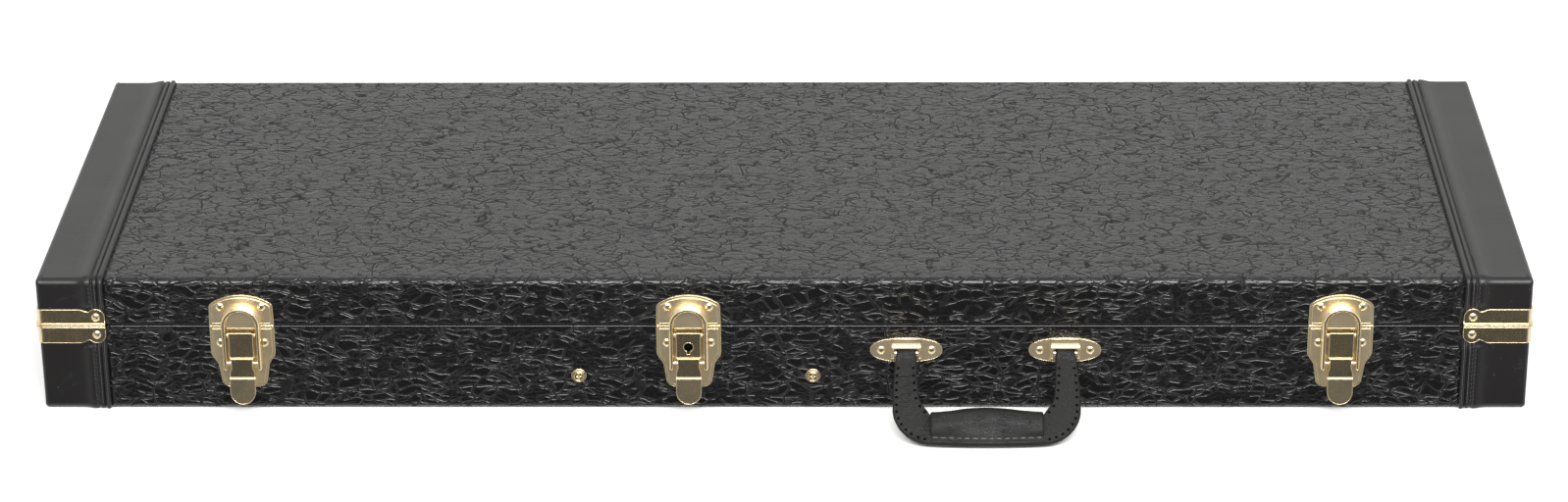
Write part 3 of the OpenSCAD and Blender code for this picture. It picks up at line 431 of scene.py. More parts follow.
def grip_thread():
    """The handle's thread, with patches of its twist painted grey: a painted highlight for the
    light that the thread catches.
    """
    f = open_finish("grip_thread")
    place = f.place()
    twist = f.cloud(place, 1900.0, 1.0)
    # painted highlight: patches of the twist are lightened from near black to grey
    tone = f.blend(twist.step(0.35, 0.7), (0.03, 0.029, 0.028, 1.0), (0.17, 0.165, 0.16, 1.0))
    return f.surface(Base_Color=tone, Roughness=0.45 + 0.2 * twist,
                     Normal=f.bump(twist, 0.0003))


def hole_shade_finish():
    """Painted shade for a punched hole: flat black with no reflection, and a little leather dust.
    """
    f = open_finish("painted_hole_shade")
    dust = f.cloud(f.place(), 3000.0, 2.0)
    tone = f.blend(dust, (0.001, 0.001, 0.001, 1.0), (0.006, 0.006, 0.006, 1.0))
    return f.surface(Base_Color=tone, Roughness=0.85 + 0.1 * dust, Specular_IOR_Level=0.0)


def gold_plate():
    """Polished gold plate, with hairline scratches and faint orange smears that lie at random."""
    metal = bpy.context.scene.guitar_case_metal
    f = open_finish("gold_plate")
    place = f.place()
    smear = f.cloud(place, 70.0, 3.0)
    hair = f.cloud(f.stretched(place, 300.0, 300.0, 2600.0), 1.0, 2.0, 0.6)
    lines = 1.0 - abs(hair - 0.5).step(0.0, 0.02)
    waves = f.cloud(place, 150.0, 1.0)
    tone = f.blend(smear.step(0.45, 0.8), rgba(metal.plate_colour),
                   rgba((metal.plate_colour[0], metal.plate_colour[1] * 0.93,
                         metal.plate_colour[2] * 0.82)))
    roughness = 0.19 + 0.09 * smear + 0.05 * lines
    height = waves * 0.6 - 0.02 * lines
    return f.surface(Base_Color=tone, Metallic=1.0, Roughness=roughness,
                     Normal=f.bump(height, 0.00012))


def satin_gold():
    """Tumbled gold plate: the same metal with a satin skin."""
    metal = bpy.context.scene.guitar_case_metal
    f = open_finish("satin_gold")
    place = f.place()
    grain = f.cloud(place, 2400.0, 2.0, 0.6)
    smear = f.cloud(place, 90.0, 3.0)
    tone = f.blend(smear, rgba(metal.satin_colour), rgba(metal.satin_colour, 0.86))
    roughness = 0.34 + 0.10 * smear + 0.05 * grain
    return f.surface(Base_Color=tone, Metallic=1.0, Roughness=roughness,
                     Normal=f.bump(grain + 2.0 * smear, 0.00006))


def lock_steel():
    """Blackened steel, rubbed bright in places."""
    f = open_finish("lock_steel")
    place = f.place()
    wear = f.cloud(place, 700.0, 3.0)
    tone = f.blend(wear.step(0.55, 0.75), (0.02, 0.02, 0.021, 1.0), (0.09, 0.085, 0.08, 1.0))
    return f.surface(Base_Color=tone, Metallic=1.0, Roughness=0.32 + 0.2 * wear,
                     Normal=f.bump(wear, 0.00008))


def spring_steel():
    """Rolled steel strip."""
    f = open_finish("spring_steel")
    place = f.place()
    mill = f.cloud(f.stretched(place, 40.0, 900.0, 900.0), 1.0, 2.0)
    tone = f.blend(mill, (0.32, 0.32, 0.34, 1.0), (0.44, 0.44, 0.46, 1.0))
    return f.surface(Base_Color=tone, Metallic=1.0, Roughness=0.3 + 0.15 * mill)


def handle_leather():
    """Charcoal leather: fine pebbles, short pull-lines, a polish from the hand, and painted shade
    in its creases and grain hollows.
    """
    leather = bpy.context.scene.guitar_case_handle
    f = open_finish("handle_leather")
    place = f.place()
    bent = f.warped(place, 420.0, 0.0009)
    pebble = f.cells(bent, 760.0)
    pulls = f.cells(f.warped(f.stretched(place, 0.45, 1.0, 1.0), 90.0, 0.004), 330.0)
    patches = f.cloud(place, 75.0, 3.0)
    broken = patches.step(0.45, 0.66)
    crease = (1.0 - pulls.step(0.0, 0.10)) * broken
    grain = 1.0 - pebble.step(0.0, 0.20)
    polish = f.cloud(place, 34.0, 2.0).step(0.4, 0.7)
    height = 0.3 * f.cloud(place, 190.0, 2.0) - 0.30 * grain - 0.55 * crease
    # painted shade: the leather is darkened to 35% of its colour in its creases and, at 60%
    # strength, in its pebbles' hollows
    tone = f.blend(crease.most(grain * 0.6), rgba(leather.leather_colour),
                   rgba(leather.leather_colour, 0.35))
    roughness = 0.46 - 0.08 * polish + 0.15 * grain
    return f.surface(Base_Color=tone, Roughness=roughness, Specular_IOR_Level=0.24,
                     Normal=f.bump(height, 0.0004))


def plush():
    """Short plush pile, brushed one way and another."""
    lining = bpy.context.scene.guitar_case_lining
    f = open_finish("plush")
    place = f.place()
    pile = f.cloud(place, 1700.0, 3.0, 0.7)
    brushed = f.cloud(f.warped(place, 12.0, 0.05), 22.0, 3.0, 0.55)
    strokes = brushed.step(0.40, 0.62)
    tone = f.blend(strokes * 0.7 + pile * 0.3, rgba(lining.plush_colour, 0.7),
                   rgba(lining.plush_colour, 2.4))
    height = pile + 0.6 * brushed
    return f.surface(Base_Color=tone, Roughness=0.78 + 0.2 * pile,
                     Sheen_Weight=0.55, Sheen_Roughness=0.4,
                     Sheen_Tint=(0.75, 0.77, 0.85, 1.0),
                     Specular_IOR_Level=0.25,
                     Normal=f.bump(height, 0.0009, 0.8))


def plywood():
    """Sawn plywood: long grain on its faces and plies across its edges."""
    f = open_finish("plywood")
    place = f.place()
    fibre = f.cloud(f.stretched(f.warped(place, 8.0, 0.01), 9.0, 240.0, 240.0), 1.0, 4.0, 0.6)
    pores = f.cloud(f.stretched(place, 60.0, 1100.0, 1100.0), 1.0, 2.0)
    knots = f.cloud(place, 11.0, 2.0).step(0.62, 0.8)
    tone = f.blend((fibre * 0.8 + knots * 0.4).least(1.0), (0.66, 0.48, 0.30, 1.0),
                   (0.42, 0.26, 0.13, 1.0))
    return f.surface(Base_Color=tone, Roughness=0.62 + 0.2 * pores,
                     Normal=f.bump(pores + fibre, 0.0003))


def ribbon():
    """Woven black ribbon: a fine rib across its length."""
    f = open_finish("ribbon")
    place = f.place()
    ribs = f.node("ShaderNodeTexWave", {"bands_direction": "Y"},
                  {"Vector": place, "Scale": 320.0, "Distortion": 0.4})
    warp = f.node("ShaderNodeTexWave", {"bands_direction": "X"},
                  {"Vector": place, "Scale": 420.0, "Distortion": 0.4})
    weave = ribs * 0.7 + warp * 0.3
    tone = f.blend(weave, (0.006, 0.006, 0.006, 1.0), (0.03, 0.03, 0.031, 1.0))
    return f.surface(Base_Color=tone, Roughness=0.5 + 0.2 * weave,
                     Sheen_Weight=0.2, Normal=f.bump(weave, 0.0003))


def studio_floor():
    """A pale seamless paper sweep."""
    stage = bpy.context.scene.guitar_case_stage
    f = open_finish("studio_floor")
    fibre = f.cloud(f.place(), 90.0, 2.0)
    tone = f.blend(fibre, rgba(stage.floor_colour), rgba(stage.floor_colour, 0.985))
    return f.surface(Base_Color=tone, Roughness=0.9, Specular_IOR_Level=0.0)


MAKERS = {
    "grained_vinyl": grained_vinyl, "smooth_vinyl": smooth_vinyl, "thread": thread,
    "grip_thread": grip_thread, "hole": hole_shade_finish, "gold_plate": gold_plate,
    "satin_gold": satin_gold, "lock_steel": lock_steel, "spring_steel": spring_steel,
    "handle_leather": handle_leather, "plush": plush, "plywood": plywood, "ribbon": ribbon,
    "floor": studio_floor,
}
FINISHES = {}


def finish(name):
    """A material, made the first time that it is asked for."""
    if name not in FINISHES:
        FINISHES[name] = MAKERS[name]()
    return FINISHES[name]


# ---------- mesh code ----------


def new_piece(name, points, faces, material):
    """A smooth-shaded piece from points in millimetres."""
    mesh = bpy.data.meshes.new(name)
    mesh.from_pydata([tuple(p) for p in np.asarray(points, float) * MM], [], faces)
    mesh.polygons.foreach_set("use_smooth", [True] * len(mesh.polygons))
    mesh.materials.append(finish(material))
    mesh.update()
    piece = bpy.data.objects.new(name, mesh)
    bpy.context.scene.collection.objects.link(piece)
    return piece


def grid_faces(rows, columns, wrap=False, start=0):
    """Quads of a grid listed row by row; wrap joins its last column to its first."""
    faces = []
    last = columns if wrap else columns - 1
    for r in range(rows - 1):
        for c in range(last):
            d = (c + 1) % columns
            a = start + r * columns
            faces.append((a + c, a + d, a + columns + d, a + columns + c))
    return faces


def settle(piece, body, slot_name, *nodes):
    """Puts a piece on its body and stands it in for its CAD nodes; slot_name is not used."""
    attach(piece, body)
    if nodes:
        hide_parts(*nodes)
    return piece


def turn_outwards(piece, centre=None):
    """Flips a piece's faces if most of its area looks inwards."""
    mesh = piece.data
    mid = np.zeros(len(mesh.polygons) * 3)
    normal = np.zeros(len(mesh.polygons) * 3)
    area = np.zeros(len(mesh.polygons))
    mesh.polygons.foreach_get("center", mid)
    mesh.polygons.foreach_get("normal", normal)
    mesh.polygons.foreach_get("area", area)
    mid, normal = mid.reshape(-1, 3), normal.reshape(-1, 3)
    middle = (mid * area[:, None]).sum(0) / area.sum()
    if centre is not None:
        middle = np.array(centre) * MM
    if (((mid - middle) * normal).sum(1) * area).sum() < 0:
        mesh.flip_normals()
    return piece


def baked(piece):
    """Applies a piece's modifiers to its mesh."""
    graph = bpy.context.evaluated_depsgraph_get()
    mesh = bpy.data.meshes.new_from_object(piece.evaluated_get(graph))
    old = piece.data
    piece.modifiers.clear()
    piece.data = mesh
    mesh.name = piece.name
    bpy.data.meshes.remove(old)
    return piece


def arc(centre, radius, start, stop, steps):
    """Points (across, up) and unit normals along an arc; its angles are in degrees."""
    found = []
    for i in range(steps + 1):
        a = math.radians(start + (stop - start) * i / steps)
        n = (math.cos(a), math.sin(a))
        found.append((centre[0] + radius * n[0], centre[1] + radius * n[1], *n))
    return found


def shell_section(up, rim, far, edge, rim_edge, inner):
    """Half a section of the base (up = 1) or of the lid (up = -1): from the rim's inner edge over
    the rim, along the wall, round the long edge and to the middle. Rows are (y, z, ny, nz)."""
    wall = FRONT
    rows = [(y, rim, 0.0, up) for y in np.linspace(inner, wall + rim_edge, 4)[:-1]]
    rows += arc((wall + rim_edge, rim - up * rim_edge), rim_edge, 90 * up, 90 * up + 90 * up, 6)
    low, high = sorted((rim - up * rim_edge, far + up * edge))
    levels = np.linspace(low, high, max(3, int((high - low) / 3.0)))
    if up > 0:
        levels = levels[::-1]
    rows += [(wall, z, -1.0, 0.0) for z in levels[1:-1]]
    rows += arc((wall + edge, far + up * edge), edge, 180, 180 + 90 * up, 12)
    rows += [(y, far, 0.0, -up) for y in np.linspace(wall + edge, 0.0, 24)[1:]]
    return np.array(rows)


def whole_section(half):
    """A half section and its mirror image, front to back."""
    other = half[::-1][1:] * np.array([-1.0, 1.0, -1.0, 1.0])
    return np.vstack([half, other])


def smooth_ramp(value, low, high):
    t = np.clip((value - low) / (high - low), 0.0, 1.0)
    return t * t * (3 - 2 * t)


WELT_CURVE = [
    (-0.2, -0.12), (0.05, 0.45), (0.35, 1.15), (0.9, 1.75), (1.6, 2.0), (2.3, 1.95), (3.0, 1.6),
    (3.5, 1.05), (3.8, 0.5), (4.05, 0.2), (4.35, 0.25), (4.6, 0.9), (4.9, 1.25), (5.6, 1.35),
    (6.3, 1.35), (6.9, 1.2), (7.2, 0.75), (7.5, 0.25), (8.2, 0.2), (8.6, 0.55)]
COVER_CURVE = [
    (8.6, 0.55), (8.9, 1.05), (9.4, 1.35), (10.2, 1.5), (11.2, 1.5), (12.4, 1.38), (13.6, 1.12),
    (15.0, 0.75), (16.6, 0.4), (18.4, 0.16), (20.5, 0.04), (23.0, 0.0)]


def welt_lift(t, sizes):
    """Height of the welt, its band and the cover's swollen edge, at t outwards from its start."""
    t = np.asarray(t, float)
    if t.max() <= 8.61:
        x, y = np.array(WELT_CURVE).T
        scale = np.where(x < 4.2, sizes.roll / 0.002, sizes.band / 0.00135)
    else:
        x, y = np.array(COVER_CURVE).T
        scale = np.full(len(x), sizes.swell / 0.0015)
    return np.interp(t, x, y * scale)


def lift_share(z, nz, up):
    """How much of the lift a point at height z takes: nothing on the underside, under the metal
    bands or on the rim. nz is the upward part of the point's normal."""
    if up > 0:
        share = 1.0 - smooth_ramp(z, BASE_BAND - 4.5, BASE_BAND - 0.4)
        share *= 1.0 - smooth_ramp(-nz, 0.86, 0.995)
    else:
        share = smooth_ramp(z, LID_BAND + 0.4, LID_BAND + 4.5)
    return share


def wavy(x, s, seed):
    """A slow, smooth wander between 0 and 1."""
    return 0.5 + 0.5 * noise.noise(Vector((x * 0.017 + seed, s * 0.03, seed * 1.7)))


def travelled(line):
    """Distance from a line's first point to each of its points, over its first two columns."""
    steps = np.hypot(*np.diff(line[:, :2], axis=0).T)
    return np.concatenate([[0.0], np.cumsum(steps)])


def swept_shell(section, stations, lifts, up, ripple):
    """Sweeps a section along X. lifts gives each station's height above the covering."""
    points = []
    spread = travelled(section)
    share = lift_share(section[:, 1], section[:, 3], up)
    for x, lift in zip(stations, lifts):
        for k, (y, z, ny, nz) in enumerate(section):
            out = lift * share[k]
            if ripple:
                out -= ripple * wavy(x, spread[k], up * 3.1) * (1.0 if abs(nz) < 0.99 else 0.6)
                if z == section[0][1]:
                    out = 0.0
            if up > 0 and z + out * nz < 0.0:
                out = z / -nz
            points.append((x, y + out * ny, z + out * nz))
    return points


def long_tube(path, radius, sides=6, taper=0.35):
    """Points and faces of a short round thread along a path, with closed, narrowed ends."""
    path = [np.array(p, float) for p in path]
    points, faces = [], []
    for i, p in enumerate(path):
        ahead = path[min(i + 1, len(path) - 1)] - path[max(i - 1, 0)]
        ahead = ahead / np.linalg.norm(ahead)
        side = np.cross(ahead, (0.31, 0.52, 0.79))
        side = side / np.linalg.norm(side)
        other = np.cross(ahead, side)
        r = radius * (taper if i in (0, len(path) - 1) else 1.0)
        for k in range(sides):
            a = 2 * math.pi * k / sides
            points.append(p + r * (math.cos(a) * side + math.sin(a) * other))
    faces = grid_faces(len(path), sides, wrap=True)
    faces.append(tuple(range(sides))[::-1])
    faces.append(tuple((len(path) - 1) * sides + k for k in range(sides)))
    return points, faces


def joined(name, parts, material):
    """One piece from many (points, faces)."""
    points, faces = [], []
    for some, quads in parts:
        start = len(points)
        points.extend(some)
        faces.extend(tuple(start + i for i in q) for q in quads)
    return new_piece(name, points, faces, material)


# ---------- the coverings ----------


def base_section(sizes):
    return whole_section(shell_section(
        1, BASE_RIM, 0.0, sizes.long_edge / MM, sizes.rim_edge / MM, LINING_LOW[1] + RIM_REACH))


def lid_section(sizes):
    return whole_section(shell_section(
        -1, LID_RIM, TOP, sizes.long_edge / MM, sizes.rim_edge / MM, LINING_LOW[1] + RIM_REACH))


def both_sections(sizes):
    """Body, section and the way its rim faces, for the base and for the lid."""
    return ("base", base_section(sizes), 1), ("lid", lid_section(sizes), -1)


class GuitarCaseCoverings(bpy.types.Operator):
    """Glues the grained vinyl over the walls, the top and the underside"""

    bl_idname = "guitar_case.coverings"
    bl_label = "Grained coverings"

    def execute(self, context):
        sizes = context.scene.guitar_case_vinyl
        stations = np.linspace(-WELT_X - TUCK, WELT_X + TUCK, 190)
        for body, section, up in both_sections(sizes):
            points = swept_shell(section, stations, np.zeros(len(stations)), up,
                                 sizes.ripple / MM)
            piece = new_piece(f"{body}_grained_vinyl", points,
                              grid_faces(len(stations), len(section)), "grained_vinyl")
            turn_outwards(piece)
            backing = piece.modifiers.new("Backing", "SOLIDIFY")
            backing.thickness = 0.0007
            backing.offset = -1.0
            settle(piece, body, "grained_vinyl", f"{body}_covering")
        return {"FINISHED"}


class GuitarCaseWelts(bpy.types.Operator):
    """Lays the rolled welts and their stitched bands beside the end covers"""

    bl_idname = "guitar_case.welts"
    bl_label = "Welts"

    def execute(self, context):
        vinyl = context.scene.guitar_case_vinyl
        sizes = context.scene.guitar_case_welt
        width = COVER_X - WELT_X
        t = np.unique(np.concatenate([np.linspace(-0.2, width, 45), [x for x, _ in WELT_CURVE]]))
        for body, section, up in both_sections(vinyl):
            parts = []
            for side in (-1, 1):
                points = swept_shell(section, side * (WELT_X + t), welt_lift(t, sizes), up, 0.0)
                parts.append((points, grid_faces(len(t), len(section))))
            left, right = parts
            piece = joined(f"{body}_rolled_welts", [left, (right[0], [q[::-1] for q in right[1]])],
                           "smooth_vinyl")
            turn_outwards(piece)
            settle(piece, body, "smooth_vinyl", f"{body}_welts")
        return {"FINISHED"}


# ---------- the end covers ----------


def cover_levels(up, sizes):
    """Rows of an end cover: how each lies on the wall, as (kind, value)."""
    rim, far = (BASE_RIM, 0.0) if up > 0 else (LID_RIM, TOP)
    rows = [("fold", e) for e in (12.0, 8.0, 4.0)]
    rows += [("rim", a) for a in np.linspace(0, 90, 7)]
    low, high = sorted((rim - up * sizes.rim_edge / MM, far + up * sizes.long_edge / MM))
    levels = np.linspace(low, high, int((high - low) / 1.5) + 2)[1:-1]
    rows += [("wall", z) for z in (levels[::-1] if up > 0 else levels)]
    rows += [("edge", a) for a in np.linspace(0, 90, 13)]
    span = END_X - COVER_X
    rows += [("face", e) for e in np.concatenate([np.linspace(6.0, 14.0, 9),
                                                  np.linspace(15.0, span, 26)])]
    return rows, rim, far


def cover_points(side, up, vinyl, welt):
    """Points of one end cover: rows run from the rim to the middle of its top or underside, and
    columns from the front welt round the end to the back welt."""
    rows, rim, far = cover_levels(up, vinyl)
    corner = COVER_CORNER
    rim_r = vinyl.rim_edge / MM
    along = np.concatenate([np.linspace(0, 12.0, 25)[:-1],
                            np.linspace(12.0, END_X - COVER_X - corner, 10)])
    along = along / along[-1]
    turns = np.linspace(0, 90, 9)
    across = np.linspace(-1, 1, 60)
    grid = []
    for kind, value in rows:
        line = []
        spots = [("front", f) for f in along] + [("turn", a) for a in turns[1:-1]]
        spots += [("end", g) for g in across]
        spots += [("back turn", a) for a in turns[::-1][1:-1]] + [("back", f) for f in along[::-1]]
        for where, f in spots:
            if where in ("front", "back"):
                blend_end = 0.0
            elif where == "end":
                blend_end = 1.0
            else:
                blend_end = f / 90.0
            edge_r = (vinyl.long_edge * (1 - blend_end) + vinyl.end_edge * blend_end) / MM
            if kind == "fold":
                inset, z, tilt = value, rim, up * 90.0
            elif kind == "rim":
                a = math.radians(90 - value)
                inset, tilt = rim_r * (1 - math.cos(a)), up * (90 - value)
                z = rim - up * rim_r * (1 - math.sin(a))
            elif kind == "wall":
                inset, z, tilt = 0.0, value, 0.0
            elif kind == "edge":
                a = math.radians(value)
                inset, tilt = edge_r * (1 - math.cos(a)), -up * value
                z = far + up * edge_r * (1 - math.sin(a))
            else:
                inset, z, tilt = value, far, -up * 90.0
            bend = max(corner - inset, 0.0)
            reach = max(corner, inset)
            if where in ("front", "back"):
                s = -1 if where == "front" else 1
                x = COVER_X + f * (END_X - reach - COVER_X)
                y, nx, ny = s * (BACK - inset), 0.0, s
            elif where == "end":
                x, y = END_X - inset, f * (BACK - reach)
                nx, ny = 1.0, 0.0
            else:
                s = -1 if where == "turn" else 1
                a = math.radians(f)
                nx, ny = math.sin(a), s * math.cos(a)
                x = END_X - reach + bend * nx
                y = s * (BACK - reach) + bend * ny
            nz = math.sin(math.radians(tilt))
            flat = math.cos(math.radians(tilt))
            covered = kind in ("fold", "rim") or (up > 0 and kind == "face")
            share = 0.0 if covered else lift_share(z, nz, up)
            lift = float(welt_lift([max(x - WELT_X, 8.62)], welt)[0]) * share
            if x - WELT_X > 22:
                lift = 0.0
            out = lift
            if kind in ("wall", "face") and x > COVER_X + 12:
                out -= 0.22 * wavy(x * 2, y + z * 2, 5.0 + up)
            px, py, pz = x + out * nx * flat, y + out * ny * flat, z + out * nz
            line.append((side * max(px, COVER_X), py, max(pz, 0.0)))
        grid.append(line)
    return grid


def weld(piece, distance):
    merge = piece.modifiers.new("Weld", "WELD")
    merge.merge_threshold = distance
    return baked(piece)


class GuitarCaseEndCovers(bpy.types.Operator):
    """Wraps both ends of the base and of the lid in smooth vinyl"""

    bl_idname = "guitar_case.end_covers"
    bl_label = "End covers"

    def execute(self, context):
        vinyl = context.scene.guitar_case_vinyl
        welt = context.scene.guitar_case_welt
        for body, up in (("base", 1), ("lid", -1)):
            for side, word in ((-1, "left"), (1, "right")):
                grid = np.array(cover_points(side, up, vinyl, welt))
                rows, columns = grid.shape[:2]
                piece = new_piece(f"{body}_smooth_cover_{word}", grid.reshape(-1, 3),
                                  grid_faces(rows, columns), "smooth_vinyl")
                weld(piece, 0.00002)
                turn_outwards(piece, (side * 440.0, 0.0, 50.0 if up < 0 else 40.0))
                settle(piece, body, "smooth_vinyl", f"{body}_end_cover_{word}")
        return {"FINISHED"}


# ---------- the stitching beside the welts ----------


def section_walk(section):
    """A function from the distance along a section to its point and normal, and its length."""
    spread = travelled(section)

    def at(s):
        return [float(np.interp(s, spread, section[:, k])) for k in range(4)]

    return at, spread[-1]


class GuitarCaseStitching(bpy.types.Operator):
    """Sews the covers to the welts with two rows of black thread"""

    bl_idname = "guitar_case.stitching"
    bl_label = "Welt stitching"

    def execute(self, context):
        vinyl = context.scene.guitar_case_vinyl
        welt = context.scene.guitar_case_welt
        pitch = welt.pitch / MM
        for body, section, up in both_sections(vinyl):
            at, length = section_walk(section)
            parts = []
            for side in (-1, 1):
                for t, radius in SEAMS:
                    for i in range(int(length / pitch)):
                        s = (i + (0.5 if t > 8 else 0.0)) * pitch
                        _, z, _, nz = at(s)
                        share = float(lift_share(z, nz, up))
                        if share < 0.75 or (up > 0 and nz < -0.5):
                            continue
                        lift = float(welt_lift([t], welt)[0]) * share
                        path = []
                        for q in (-0.5, -0.28, 0.0, 0.28, 0.5):
                            yy, zz, my, mz = at(s + q * pitch * 0.8)
                            dip = lift + radius * (0.75 - 3.6 * q * q)
                            path.append((side * (WELT_X + t + 0.25 * q),
                                         yy + dip * my, zz + dip * mz))
                        parts.append(long_tube(path, radius))
            piece = joined(f"{body}_welt_stitches", parts, "thread")
            settle(piece, body, "smooth_vinyl")
        return {"FINISHED"}


# ---------- metal fittings ----------

PLATED = [
    "base_band_left", "base_band_right", "lid_band_left", "lid_band_right",
    "latch_lever_left", "latch_lever_middle", "latch_lever_right",
    "latch_bail_left", "latch_bail_middle", "latch_bail_right",
    "latch_pivot_pins", "base_rivets", "lid_rivets", "divider_screws", "cup_washers",
    "hinge_base_leaves", "hinge_lid_leaves", "hinge_pins", "hinge_base_screws",
    "hinge_lid_screws"]
SATIN = [
    "handle_bracket_left", "handle_bracket_right", "handle_pins",
    "latch_plate_left", "latch_plate_middle", "latch_plate_right",
    "keeper_plate_left", "keeper_plate_middle", "keeper_plate_right"]


def bead_group(radius, sharpest):
    """Geometry nodes that close a CAD part's seams and lay a polished bead, sunk into the metal,
    along each outer edge."""
    tree = bpy.data.node_groups.new("polished_edges", "GeometryNodeTree")
    tree.interface.new_socket("Part", in_out="INPUT", socket_type="NodeSocketGeometry")
    tree.interface.new_socket("Part", in_out="OUTPUT", socket_type="NodeSocketGeometry")

    def add(kind, inputs=None, **settings):
        made = tree.nodes.new(kind)
        for name, value in settings.items():
            setattr(made, name, value)
        for name, value in (inputs or {}).items():
            if isinstance(value, bpy.types.NodeSocket):
                tree.links.new(value, made.inputs[name])
            else:
                made.inputs[name].default_value = value
        return made

    part = add("NodeGroupInput").outputs[0]
    closed = add("GeometryNodeMergeByDistance", {"Geometry": part, "Distance": 0.000005}).outputs[0]
    fold = add("GeometryNodeInputMeshEdgeAngle").outputs["Signed Angle"]
    outer = add("FunctionNodeCompare", {0: fold, 1: sharpest}, operation="GREATER_THAN").outputs[0]
    inwards = add("ShaderNodeVectorMath", {0: add("GeometryNodeInputNormal").outputs[0],
                                           "Scale": -0.85 * radius}, operation="SCALE").outputs[0]
    sunk = add("GeometryNodeSetPosition", {"Geometry": closed, "Offset": inwards}).outputs[0]
    lines = add("GeometryNodeMeshToCurve", {"Mesh": sunk, "Selection": outer}).outputs[0]
    ring = add("GeometryNodeCurvePrimitiveCircle", {"Resolution": 8, "Radius": radius}).outputs[0]
    beads = add("GeometryNodeCurveToMesh", {"Curve": lines, "Profile Curve": ring}).outputs[0]
    round_beads = add("GeometryNodeSetShadeSmooth", {0: beads}).outputs[0]
    skin = add("GeometryNodeSetMaterial", {"Geometry": round_beads,
                                           "Material": finish("gold_plate")}).outputs[0]
    both = add("GeometryNodeJoinGeometry")
    tree.links.new(skin, both.inputs[0])
    tree.links.new(part, both.inputs[0])
    add("NodeGroupOutput", {0: both.outputs[0]})
    return tree


def soft_edges(node, group):
    """Polishes the edges of a CAD part with a modifier, and leaves its mesh as it is."""
    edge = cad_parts[node].modifiers.new("Polished edges", "NODES")
    edge.node_group = group


def dress(node, material):
    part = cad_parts[node]
    for place in part.material_slots:
        place.material = finish(material)


class GuitarCaseFittings(bpy.types.Operator):
    """Plates the latches, bands, hinges, brackets and fasteners"""

    bl_idname = "guitar_case.fittings"
    bl_label = "Metal fittings"

    def execute(self, context):
        beads = bead_group(context.scene.guitar_case_metal.edge, math.radians(32))
        for node in PLATED:
            dress(node, "gold_plate")
            soft_edges(node, beads)
        for node in SATIN:
            dress(node, "satin_gold")
            soft_edges(node, beads)
        dress("lock_cylinder", "lock_steel")
        dress("handle_core", "spring_steel")
        for node in ("base_boards", "base_bottom_panel", "lid_boards", "lid_top_panel"):
            dress(node, "plywood")
        return {"FINISHED"}


# ---------- the handle ----------


class HandlePlane:
    """The handle's own plane: across it, away from its pivots, and up through its leather."""

    def __init__(self, sizes):
        self.middle = (PINS_LOW[0] + PINS_HIGH[0]) / 2
        self.pivot_y = (PINS_LOW[1] + PINS_HIGH[1]) / 2
        self.pivot_z = (PINS_LOW[2] + PINS_HIGH[2]) / 2
        self.cos = math.cos(sizes.angle)
        self.sin = math.sin(sizes.angle)
        self.span = PINS_HIGH[0] - PINS_LOW[0] - 19.8
        self.reach = sizes.reach / MM
        self.leg = sizes.leg / MM
        self.grip = sizes.grip / MM
        self.thick = sizes.grip_thickness / MM
        self.spread = 3.0
        self.corner = 27.0

    def place(self, x, away, up):
        return (self.middle + x,
                self.pivot_y - away * self.cos - up * self.sin,
                self.pivot_z - away * self.sin + up * self.cos)

    def edges(self):
        """Outer and inner edge points of one half, from the eye to the middle of the bar."""
        x0 = self.span / 2 + self.leg / 2
        x1 = x0 + self.spread
        outer = [(x0, -4.2), (x0, 0.0), (x0 + 0.4 * self.spread, 9), (x0 + 0.8 * self.spread, 20),
                 (x1, 32)]
        r = self.corner
        drop = 1.3
        outer += [(x1 - r + r * math.cos(math.radians(a)),
                   self.reach - drop - r + r * math.sin(math.radians(a))) for a in range(-8, 83, 9)]
        for x in (30.0, 20.0, 10.0, 0.0):
            outer.append((x, self.reach - drop * (x / 42.0) ** 2))
        i0 = self.span / 2 - self.leg / 2
        inner = [(i0, -4.2), (i0, 0.0), (i0 - 0.4, 10), (i0 - 0.8, 20), (i0 - 1.6, 32),
                 (i0 - 2.2, 35.5), (i0 - 3.2, 38.4), (i0 - 4.9, 41.4), (i0 - 7.2, 44.6),
                 (i0 - 9.5, 48.0), (36.0, 50), (30.0, 50), (20.0, 50), (10.0, 50), (0.0, 50)]
        return spline(outer, 90), spline(inner, 90)


def spline(points, count):
    """Evenly spaced points on a smooth curve through the given ones."""
    p = np.array(points, float)
    found = []
    for i in range(len(p) - 1):
        a, b = p[max(i - 1, 0)], p[i]
        c, d = p[i + 1], p[min(i + 2, len(p) - 1)]
        for k in range(12):
            t = k / 12
            found.append(0.5 * ((2 * b) + (c - a) * t + (2 * a - 5 * b + 4 * c - d) * t * t
                                + (3 * b - 3 * c + d - a) * t ** 3))
    found.append(p[-1])
    found = np.array(found)
    s = travelled(found)
    want = np.linspace(0, s[-1], count)
    return np.stack([np.interp(want, s, found[:, k]) for k in range(p.shape[1])], axis=1)


def strap_height(v, half, thick):
    """Half thickness of the strap at v across it: a face, a stitched groove and a round edge."""
    r = min(1.9, half * 0.5)
    edge = np.clip((abs(v) - (half - r)) / r, 0.0, 1.0)
    body = thick * math.sqrt(max(1.0 - edge ** 2.4, 0.0))
    groove = 0.12 * math.exp(-((abs(v) - (half - HOLE_LINE)) / 0.9) ** 2)
    crown = 0.22 * (1.0 - (v / half) ** 2)
    return max(body - groove + crown - 0.22, 0.0)


